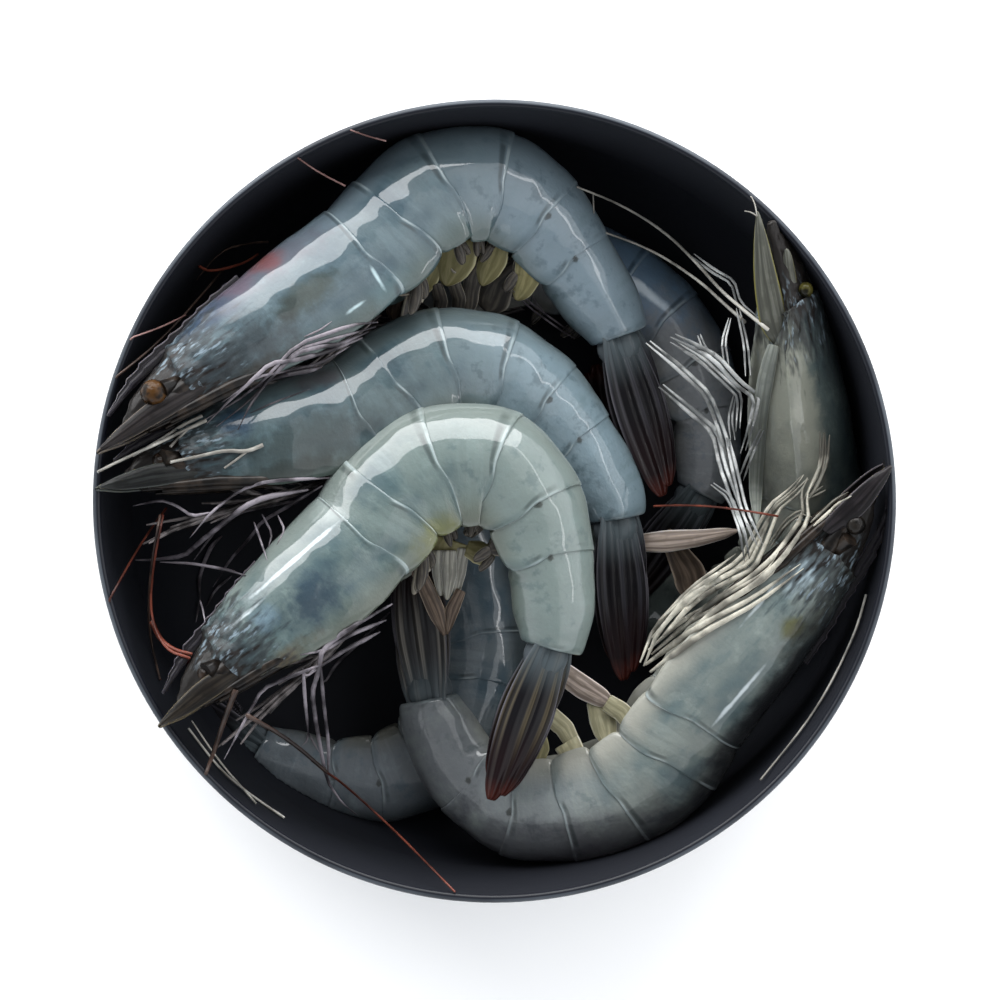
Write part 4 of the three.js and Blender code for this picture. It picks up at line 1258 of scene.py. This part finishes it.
    relief = node(tree, "Math", {0: fibres, 1: 0.25, 2: fine}, operation="MULTIPLY_ADD")
    return {
        "Base Color": coloured(tree, deep, layers),
        "Roughness": 0.35, "IOR": 1.4, "Specular IOR Level": 0.12,
        "Subsurface Weight": 0.3, "Subsurface Radius": (1.0, 1.0, 0.9), "Subsurface Scale": 0.0012,
        "Coat Weight": node(tree, "MapRange", {0: dull, 1: -30.0, 2: -42.0, 3: 1.0, 4: 0.1}, **SMOOTH),
        "Coat Roughness": 0.035, "Coat IOR": 1.46,
        "Normal": node(tree, "Bump", {"Height": relief, "Strength": 0.5, "Distance": 0.0002}),
        "Coat Normal": node(tree, "Bump", {"Height": swell, "Strength": 0.8, "Distance": 0.0004}),
    }


def fan_nodes(tree, web, rib):
    """Tail blades: thin ribbed chitin, dark between paler ribs, grey at the root, maroon towards the rounded
    tip and orange-brown at its fringe. It gives the eye long dark stripes under a wet gloss."""
    leaf = node(tree, "Attribute", None, "Vector", attribute_name="leaf")
    along = node(tree, "SeparateXYZ", {0: leaf}, 0)
    across = node(tree, "Math", {0: node(tree, "SeparateXYZ", {0: leaf}, 1)}, operation="ABSOLUTE")
    drawn = node(tree, "Mapping", {"Vector": leaf, "Scale": (0.14, 1, 1)})
    streaks = node(tree, "TexNoise", {"Vector": drawn, "Scale": 4.0, "Detail": 4.0})
    ribs = node(
        tree, "TexWave", {"Vector": drawn, "Scale": 0.3, "Distortion": 3.5, "Detail": 3.0}, 1,
        bands_direction="Y",
    )
    ribs = node(tree, "MapRange", {0: ribs, 1: 0.45, 2: 0.9, 4: 0.8}, **SMOOTH)
    rim = node(tree, "MapRange", {0: across, 1: 0.87, 2: 0.95, 4: 0.85})
    groove = node(tree, "Math", {0: across, 1: 0.74}, operation="SUBTRACT")
    groove = node(tree, "Math", {0: groove}, operation="ABSOLUTE")
    groove = node(tree, "MapRange", {0: groove, 1: 0.13, 2: 0.05, 4: 0.85}, **SMOOTH)
    tip = node(tree, "MapRange", {0: along, 1: 0.45, 2: 0.8, 4: 0.92}, **SMOOTH)
    fringe = node(tree, "MapRange", {0: along, 1: 0.86, 2: 1.0, 4: 1.3})
    fringe = node(tree, "Math", {0: fringe, 1: streaks}, operation="MULTIPLY")
    colour = coloured(tree, linear(web), [
        (ribs, rib),
        (node(tree, "MapRange", {0: streaks, 1: 0.5, 2: 0.36, 4: 0.6}), web),
        (groove, "#09080b"), (rim, "#605e64"),
        (node(tree, "MapRange", {0: along, 1: 0.36, 2: 0.02, 4: 0.8}, **SMOOTH), "#4a5357"),
        (node(tree, "MapRange", {0: streaks, 1: 0.45, 2: 0.36, 4: 0.8}), "#121114"),
        (tip, "#120709"), (fringe, "#421a12"),
    ])
    return {
        "Base Color": colour, "Roughness": 0.4, "IOR": 1.4, "Specular IOR Level": 0.08,
        "Coat Weight": 0.3, "Coat Roughness": 0.08, "Coat IOR": 1.4,
        "Normal": node(tree, "Bump", {"Height": streaks, "Strength": 0.6, "Distance": 0.0002}),
        "Coat Normal": node(tree, "Bump", {"Height": streaks, "Strength": 0.3, "Distance": 0.0002}),
    }


def leaf_nodes(tree, dark, middle, rim):
    """Thin soft chitin of the horn, the scales and the swimming legs: darker veins along it, clouded, and a
    pale wet rim where it thins out."""
    leaf = node(tree, "Attribute", None, "Vector", attribute_name="leaf")
    across = node(tree, "Math", {0: node(tree, "SeparateXYZ", {0: leaf}, 1)}, operation="ABSOLUTE")
    drawn = node(tree, "Mapping", {"Vector": leaf, "Scale": (0.5, 1, 1)})
    streaks = node(tree, "TexNoise", {"Vector": drawn, "Scale": 2.6, "Detail": 4.0})
    place = node(tree, "TexCoord", None, "Object")
    clouds = node(tree, "TexNoise", {"Vector": place, "Scale": 0.25 / MM, "Detail": 3.0})
    colour = coloured(tree, linear(dark), [
        (node(tree, "MapRange", {0: streaks, 1: 0.4, 2: 0.62}, **SMOOTH), middle),
        (node(tree, "MapRange", {0: clouds, 1: 0.5, 2: 0.66, 4: 0.6}, **SMOOTH), dark),
        (node(tree, "MapRange", {0: across, 1: 0.84, 2: 0.98, 4: 0.8}), rim),
    ])
    return {
        "Base Color": colour, "Roughness": 0.4, "IOR": 1.4, "Specular IOR Level": 0.08,
        "Subsurface Weight": 0.3, "Subsurface Radius": (1.0, 0.9, 0.6), "Subsurface Scale": 0.001,
        "Coat Weight": 0.18, "Coat Roughness": 0.1, "Coat IOR": 1.42,
        "Normal": node(tree, "Bump", {"Height": streaks, "Strength": 0.5, "Distance": 0.0002}),
        "Coat Normal": node(tree, "Bump", {"Height": streaks, "Strength": 0.25, "Distance": 0.0002}),
    }


def strand_nodes(tree, dark, pale, period):
    """Thin jointed chitin of legs and feelers: pale and dark by turns along its length, with a wet gloss."""
    place = node(tree, "TexCoord", None, "Object")
    clouds = node(tree, "TexNoise", {"Vector": place, "Scale": 1 / (period * MM), "Detail": 3.0})
    fine = node(tree, "TexNoise", {"Vector": place, "Scale": 1.2 / MM, "Detail": 2.0})
    colour = coloured(tree, linear(dark), [
        (node(tree, "MapRange", {0: clouds, 1: 0.4, 2: 0.6}, **SMOOTH), pale),
        (node(tree, "MapRange", {0: fine, 1: 0.5, 2: 0.7, 4: 0.25}, **SMOOTH), dark),
    ])
    return {
        "Base Color": colour, "Roughness": 0.4, "IOR": 1.4, "Specular IOR Level": 0.1,
        "Coat Weight": 0.22, "Coat Roughness": 0.1,
        "Subsurface Weight": 0.2, "Subsurface Radius": (1.0, 0.8, 0.7), "Subsurface Scale": 0.0008,
        "Normal": node(tree, "Bump", {"Height": fine, "Strength": 0.5, "Distance": 0.0001}),
    }


def eye_nodes(tree, dark, pale):
    """The eye: an amber glassy ball with darker clouds. It gives the eye a few small bright points."""
    place = node(tree, "TexCoord", None, "Object")
    clouds = node(tree, "TexNoise", {"Vector": place, "Scale": 0.5 / MM, "Detail": 2.0})
    share = node(tree, "MapRange", {0: clouds, 1: 0.38, 2: 0.6}, **SMOOTH)
    return {
        "Base Color": coloured(tree, linear(dark), [(share, pale)]), "Roughness": 0.25, "IOR": 1.4,
        "Specular IOR Level": 0.05, "Coat Weight": 0.3, "Coat Roughness": 0.03, "Coat IOR": 1.4,
        "Coat Normal": node(tree, "Bump", {"Height": clouds, "Strength": 0.8, "Distance": 0.0007}),
    }


def glaze_nodes(tree, sizes):
    """Dark matt glaze on stoneware, nearly black with a cool cast and faint clouds, smoother along the lip,
    where it catches the light as a thin bright line, and a lighter grey in patches along the outside of the
    lip."""
    place = node(tree, "TexCoord", None, "Object")
    height = node(tree, "SeparateXYZ", {0: place}, 2)
    clouds = node(tree, "TexNoise", {"Vector": place, "Scale": 0.06 / MM, "Detail": 3.0})
    fine = node(tree, "TexNoise", {"Vector": place, "Scale": 0.8 / MM, "Detail": 2.0})
    top, rim = sizes.height, sizes.rim_radius
    lip = node(tree, "MapRange", {0: height, 1: top - 1.2 * MM, 2: top - 0.4 * MM}, **SMOOTH)
    spread = node(tree, "Mapping", {"Vector": place, "Scale": (1, 1, 0)})
    spread = node(tree, "VectorMath", {0: spread}, "Value", operation="LENGTH")
    outer = node(tree, "MapRange", {0: spread, 1: rim - 0.9 * MM, 2: rim - 0.6 * MM}, **SMOOTH)
    patchy = node(tree, "MapRange", {0: clouds, 1: 0.35, 2: 0.6, 3: 0.3, 4: 0.9})
    base = linear(sizes.colour)
    bright = node(tree, "Math", {0: lip, 1: outer}, operation="MULTIPLY")
    colour = coloured(tree, base, [
        (clouds, tuple(c * 1.5 for c in base)),
        (node(tree, "Math", {0: bright, 1: patchy}, operation="MULTIPLY"), "#42474d"),
    ])
    return {
        "Base Color": colour, "Roughness": node(tree, "MapRange", {0: lip, 1: 0.0, 2: 1.0, 3: 0.7, 4: 0.35}),
        "IOR": 1.5, "Specular IOR Level": 0.2,
        "Normal": node(tree, "Bump", {"Height": fine, "Strength": 0.2, "Distance": 0.0001}),
    }


def floor_nodes(tree, colour_code):
    """Matt white paper of the studio floor, with hardly any tooth."""
    place = node(tree, "TexCoord", None, "Object")
    clouds = node(tree, "TexNoise", {"Vector": place, "Scale": 0.025 / MM, "Detail": 2.0})
    base = linear(colour_code)
    return {"Base Color": coloured(tree, base, [(clouds, tuple(c * 0.99 for c in base))]), "Roughness": 0.9}


# Colours of the soft blades: veins, body and rim.
LEAF_COLOURS = {
    "olive": ("#5b573b", "#716c4e", "#9c9879"),
    "grey": ("#2c2a28", "#49453f", "#847f74"),
    "pale": ("#63625c", "#8d8c83", "#cfcfc6"),
    "tan": ("#3d342d", "#63564b", "#b3a392"),
    "cream": ("#87836a", "#a5a186", "#dcd8c2"),
    "rosy": ("#6f645c", "#aa9d93", "#e9e1da"),
    "horny": ("#3c3d37", "#5c5d56", "#6d6830"),
    "glassy": ("#5e625d", "#787c76", "#8d918a"),
}
# Colours of the strands: dark, pale and the length of a change in millimetres.
STRAND_COLOURS = {
    "lilac": ("#2c292d", "#757076", 7),
    "cream": ("#5d5b54", "#a6a397", 7),
    "milky": ("#595b5b", "#a0a2a1", 7),
    "pale": ("#6a6863", "#a3a19a", 9),
    "red": ("#321610", "#5f3025", 12),
    "dark": ("#1c1614", "#43352f", 9),
    "grey": ("#2a2727", "#5f5a5a", 4),
    "rose": ("#4a3330", "#7c615e", 8),
}
# The shrimp whose legs lie in bundles, with their colours. Each of their courses gives two thinner strands.
BUNDLED_LEGS = {"shrimp_d": "cream", "shrimp_e": "milky"}

# Settings

SENSOR_WIDTH = 36
# The lights: name, azimuth, elevation, distance, size and watts.
LIGHTS = (
    ("window", 100, 22, 1.35, (2.4, 1.15), 64),
    ("fill", 10, 42, 1.5, (2.2, 1.8), 11),
    ("strip", 20, 40, 1.4, (1.5, 0.09), 2.2),
)


class ShrimpBowlSizes(bpy.types.PropertyGroup):
    """Sizes and colour of the bowl."""

    rim_radius: bpy.props.FloatProperty(
        name="Rim radius", description="From the bowl's axis to the outside of its lip",
        default=79.6 * MM, min=0.05, max=0.15, unit="LENGTH",
    )
    height: bpy.props.FloatProperty(
        name="Height", description="From the foot to the top of the lip",
        default=54 * MM, min=0.03, max=0.1, unit="LENGTH",
    )
    colour: bpy.props.StringProperty(
        name="Glaze colour", description="Colour of the glaze as sRGB hex", default="#0d0f15",
    )


class ShrimpBowlStage(bpy.types.PropertyGroup):
    """The floor, light and camera."""

    field: bpy.props.FloatProperty(
        name="Field", description="Width of what the camera sees at the bowl's rim", default=198 * MM,
        min=0.1, max=1.0, unit="LENGTH",
    )
    distance: bpy.props.FloatProperty(
        name="Distance", description="From the rim up to the camera",
        default=1.4, min=0.3, max=5.0, unit="LENGTH",
    )
    centre: bpy.props.FloatVectorProperty(
        name="Centre", description="The place straight below the camera",
        size=2, default=(1.1 * MM, 0.2 * MM), unit="LENGTH",
    )
    floor_colour: bpy.props.StringProperty(
        name="Floor colour", description="Colour of the floor as sRGB hex", default="#fdfdfd",
    )


# Operators


class SHRIMPBOWL_OT_bowl(bpy.types.Operator):
    """Turns the bowl from the outline of its wall"""

    bl_idname = "shrimpbowl.bowl"
    bl_label = "Bowl"

    def execute(self, context):
        rim, height = rim_of_bowl()
        lip_middle = Vector((rim - BOWL_LIP, height - BOWL_LIP))
        corner = rim - BOWL_INSET
        outline = [Vector((0, 0)), Vector((BOWL_FOOT - 4, 0)), Vector((BOWL_FOOT - 1, 0))]
        outline += round_corner(Vector((BOWL_FOOT, 0.15)), Vector((corner - 4, 1)), Vector((corner, 25)))
        outline += round_corner(
            Vector((corner + 0.4, 28)), Vector((rim - 0.6, 42)), lip_middle + Vector((BOWL_LIP, -3.0)), 6,
        )
        for step in range(13):
            turn = lerp(-0.05, 1.05, step / 12) * math.pi
            outline.append(lip_middle + BOWL_LIP * Vector((math.cos(turn), math.sin(turn))))
        outline += [*bowl_inside(), Vector((BOWL_FOOT, BOWL_FLOOR)), Vector((0, BOWL_FLOOR))]
        bpy.ops.object.select_all(action="DESELECT")
        bpy.ops.mesh.primitive_circle_add(vertices=3, radius=MM, enter_editmode=True)
        piece = context.object
        piece.name = "bowl_glazed"
        body = bmesh.from_edit_mesh(piece.data)
        bmesh.ops.delete(body, geom=body.verts[:], context="VERTS")
        corners = [body.verts.new((point.x * MM, 0, point.y * MM)) for point in outline]
        for near, far in zip(corners, corners[1:]):
            body.edges.new((near, far))
        bmesh.update_edit_mesh(piece.data)
        bpy.ops.mesh.select_all(action="SELECT")
        bpy.ops.mesh.spin(steps=BOWL_STEPS, angle=2 * math.pi, center=(0, 0, 0), axis=(0, 0, 1))
        bpy.ops.mesh.select_all(action="SELECT")
        bpy.ops.mesh.remove_doubles(threshold=0.00002)
        bpy.ops.object.mode_set(mode="OBJECT")
        glaze = new_material("dark_glaze", glaze_nodes, context.scene.shrimp_bowl)
        piece.data.materials.append(glaze)
        finish_piece(piece, "bowl", "bowl")
        return {"FINISHED"}


class SHRIMPBOWL_OT_shells(bpy.types.Operator):
    """Models the shell of one straight shrimp and bends a copy of it for each shrimp of the heap"""

    bl_idname = "shrimpbowl.shells"
    bl_label = "Shells"

    def execute(self, context):
        straight = straight_shell()
        for name, shrimp in HEAP.items():
            piece = copy_of(straight, name.replace("shrimp", "shell"))
            bend(piece, name, shrimp["girth"])
            dent(piece)
            piece.data.materials.append(new_material(piece.name, shell_nodes, shrimp))
            finish_piece(piece, "shrimp", name)
        bpy.data.objects.remove(straight)
        return {"FINISHED"}


class SHRIMPBOWL_OT_blades(bpy.types.Operator):
    """Models the other parts of one straight shrimp and bends copies of them for the heap"""

    bl_idname = "shrimpbowl.blades"
    bl_label = "Tails, horns, scales and swimming legs"

    def execute(self, context):
        straights = {
            "tail": straight_tail(), "horn": straight_horn(), "scales": straight_scales(),
            "paddles": straight_paddles(), "face": straight_face(),
        }
        finishes = {
            "horn": new_material("horn", leaf_nodes, "#0f0e10", "#211f24", "#524e55"),
            "paddles": new_material("paddles", leaf_nodes, *LEAF_COLOURS["grey"]),
            "face": new_material("face", strand_nodes, "#0b0908", "#241e19", 3),
        }
        for name, shrimp in HEAP.items():
            finishes["scales"] = new_material(name.replace("shrimp", "scales"), leaf_nodes, *shrimp["scale"])
            finishes["tail"] = new_material(name.replace("shrimp", "tail"), fan_nodes, *shrimp["fan"])
            for kind, straight in straights.items():
                if kind in shrimp.get("without", ()):
                    continue
                piece = copy_of(straight, name.replace("shrimp", kind))
                if kind in shrimp.get("shorter", {}):
                    fixed, share = shrimp["shorter"][kind]
                    shape(piece, lambda at: (lerp(-fixed, at.x, share), at.y, at.z))
                bend(piece, name)
                piece.data.materials.append(finishes[kind])
                finish_piece(piece, "shrimp", name)
        for straight in straights.values():
            bpy.data.objects.remove(straight)
        return {"FINISHED"}


class SHRIMPBOWL_OT_eyes(bpy.types.Operator):
    """Adds the eyes of each shrimp on their short stalks"""

    bl_idname = "shrimpbowl.eyes"
    bl_label = "Eyes"

    def execute(self, context):
        for name in HEAP:
            balls = []
            place, up, out, radius = HEAP[name]["eye"]
            for side in (1, -1):
                bpy.ops.object.select_all(action="DESELECT")
                bpy.ops.mesh.primitive_uv_sphere_add(
                    segments=24, ring_count=16, radius=radius * MM,
                    location=(-place * MM, up * MM, side * out * MM),
                )
                bpy.ops.object.transform_apply(location=True, rotation=True, scale=True)
                balls.append(context.object)
            piece = bend(join(balls, name.replace("shrimp", "eyes")), name)
            piece.data.materials.append(new_material(piece.name, eye_nodes, *HEAP[name]["eye_colours"]))
            finish_piece(piece, "shrimp", name)
        return {"FINISHED"}


class SHRIMPBOWL_OT_legs(bpy.types.Operator):
    """Adds the walking legs: those under the body folded along it, the others laid over the heap"""

    bl_idname = "shrimpbowl.legs"
    bl_label = "Legs"

    def execute(self, context):
        finishes = {}
        for kind in ("lilac", "cream", "milky", "grey"):
            finishes[kind] = new_material(kind + "_legs", strand_nodes, *STRAND_COLOURS[kind])
        surface = surface_so_far()
        for index, name in enumerate(HEAP):
            if name in BUNDLED_LEGS:
                continue
            rng = random.Random(index + 3)
            sides = (-0.4, -1) if name in LEG_COURSES else (1, -1)
            lines = [leg(32 - 5.6 * i, side, rng) for i in range(5) for side in sides]
            piece = bend(strands(name.replace("shrimp", "legs"), lines), name)
            piece.data.materials.append(finishes["grey"])
            finish_piece(piece, "shrimp", name)
        for name, courses in LEG_COURSES.items():
            shifts, thin = ((-0.55, 0.55), 0.44) if name in BUNDLED_LEGS else ((0,), 0.62)
            lines = []
            for start, end, course in courses:
                for shift in shifts:
                    row = beside(course, shift * start, shift * (end + 0.5))
                    lines.append(laid(surface, row, thin * start, thin * end, knees=True))
            piece = strands(name.replace("shrimp", "laid_legs"), lines, flat=0.15)
            piece.data.materials.append(finishes[BUNDLED_LEGS.get(name, "lilac")])
            finish_piece(piece, "shrimp", name)
        return {"FINISHED"}


class SHRIMPBOWL_OT_flaps(bpy.types.Operator):
    """Adds the blades of the swimming legs that hang out under the arched bellies"""

    bl_idname = "shrimpbowl.flaps"
    bl_label = "Hanging swimming legs"

    def execute(self, context):
        finishes = {}
        for kind, codes in LEAF_COLOURS.items():
            finishes[kind] = new_material(kind + "_blades", leaf_nodes, *codes)
        surface = surface_so_far()
        for name, rows in FLAPS.items():
            for kind in sorted({row[0] for row in rows}):
                blades = [hung_blade("flap", surface, *row[1:]) for row in rows if row[0] == kind]
                piece = join(blades, name.replace("shrimp", kind + "_flaps"))
                piece.data.materials.append(finishes[kind])
                finish_piece(piece, "shrimp", name)
        return {"FINISHED"}


class SHRIMPBOWL_OT_feelers(bpy.types.Operator):
    """Lays the long thin feelers over the heap and the bowl"""

    bl_idname = "shrimpbowl.feelers"
    bl_label = "Feelers"

    def execute(self, context):
        finishes = {}
        for kind in ("pale", "red", "rose", "dark"):
            finishes[kind] = new_material(kind + "_feelers", strand_nodes, *STRAND_COLOURS[kind])
        surface = surface_so_far()
        for name, kinds in FEELER_COURSES.items():
            for kind, courses in kinds.items():
                lines = [laid(surface, course, start, end) for start, end, course in courses]
                piece = strands(name.replace("shrimp", kind + "_feelers"), lines, 2)
                piece.data.materials.append(finishes[kind])
                finish_piece(piece, "shrimp", name)
        return {"FINISHED"}


class SHRIMPBOWL_OT_stage(bpy.types.Operator):
    """Adds the floor, the three lights, the sky and the camera straight above the bowl"""

    bl_idname = "shrimpbowl.stage"
    bl_label = "Stage"

    def execute(self, context):
        stage = context.scene.shrimp_stage
        rim = context.scene.shrimp_bowl.height
        bpy.ops.object.select_all(action="DESELECT")
        bpy.ops.mesh.primitive_plane_add(size=4.0, location=(0, 0, -0.05 * MM))
        floor = context.object
        floor.name = "floor"
        bpy.ops.object.transform_apply(location=True, rotation=True, scale=True)
        floor.data.materials.append(new_material("studio_paper", floor_nodes, stage.floor_colour))

        for name, turn, rise, away, size, watts in LIGHTS:
            azimuth, elevation = math.radians(turn), math.radians(rise)
            level = math.cos(elevation)
            towards = Vector((math.cos(azimuth) * level, math.sin(azimuth) * level, math.sin(elevation)))
            bpy.ops.object.light_add(type="AREA", location=Vector((0, 0, 0.05)) + away * towards)
            light = context.object
            light.name = name
            light.data.shape = "RECTANGLE"
            light.data.size, light.data.size_y = size
            light.data.energy = watts
            light.rotation_euler = towards.to_track_quat("Z", "Y").to_euler()

        world = bpy.data.worlds.new("studio")
        world.use_nodes = True
        tree = world.node_tree
        sky = node(tree, "TexCoord", None, "Generated")
        height = node(tree, "SeparateXYZ", {0: sky}, 2)
        light = node(tree, "MapRange", {0: height, 1: 0.1, 2: 0.95, 3: 2.3, 4: 0.4})
        tree.links.new(light, tree.nodes["Background"].inputs["Strength"])
        tree.nodes["Background"].inputs["Color"].default_value = (0.93, 0.96, 1.0, 1)
        context.scene.world = world
        context.scene.view_settings.view_transform = "Standard"

        bpy.ops.object.camera_add(location=(*stage.centre, rim + stage.distance), rotation=(0, 0, 0))
        camera = context.object
        camera.data.sensor_width = SENSOR_WIDTH
        camera.data.lens = SENSOR_WIDTH * stage.distance / stage.field
        camera.data.clip_end = 10
        context.scene.camera = camera
        return {"FINISHED"}


class SHRIMPBOWL_PT_panel(bpy.types.Panel):
    """Lists the steps that model the bowl of shrimp"""

    bl_label = "Bowl of raw shrimp"
    bl_idname = "SHRIMPBOWL_PT_panel"
    bl_space_type = "VIEW_3D"
    bl_region_type = "UI"
    bl_category = "Shrimp"

    def draw(self, context):
        column = self.layout.column(align=True)
        for group in (context.scene.shrimp_bowl, context.scene.shrimp_stage):
            for key in group.__annotations__:
                column.prop(group, key)
        for operator in STEPS:
            column.operator(operator.bl_idname)


STEPS = (
    SHRIMPBOWL_OT_bowl, SHRIMPBOWL_OT_shells, SHRIMPBOWL_OT_blades, SHRIMPBOWL_OT_eyes, SHRIMPBOWL_OT_legs,
    SHRIMPBOWL_OT_flaps, SHRIMPBOWL_OT_feelers, SHRIMPBOWL_OT_stage,
)
CLASSES = (ShrimpBowlSizes, ShrimpBowlStage, *STEPS, SHRIMPBOWL_PT_panel)


def register():
    """Registers the settings, steps and panel."""
    for cls in CLASSES:
        bpy.utils.register_class(cls)
    bpy.types.Scene.shrimp_bowl = bpy.props.PointerProperty(type=ShrimpBowlSizes)
    bpy.types.Scene.shrimp_stage = bpy.props.PointerProperty(type=ShrimpBowlStage)


def unregister():
    """Takes them out again."""
    del bpy.types.Scene.shrimp_stage
    del bpy.types.Scene.shrimp_bowl
    for cls in reversed(CLASSES):
        bpy.utils.unregister_class(cls)


def main():
    """Models everything in order."""
    register()
    bpy.ops.shrimpbowl.bowl()
    bpy.ops.shrimpbowl.shells()
    bpy.ops.shrimpbowl.blades()
    bpy.ops.shrimpbowl.eyes()
    bpy.ops.shrimpbowl.legs()
    bpy.ops.shrimpbowl.flaps()
    bpy.ops.shrimpbowl.feelers()
    bpy.ops.shrimpbowl.stage()


if __name__ == "__main__":
    main()
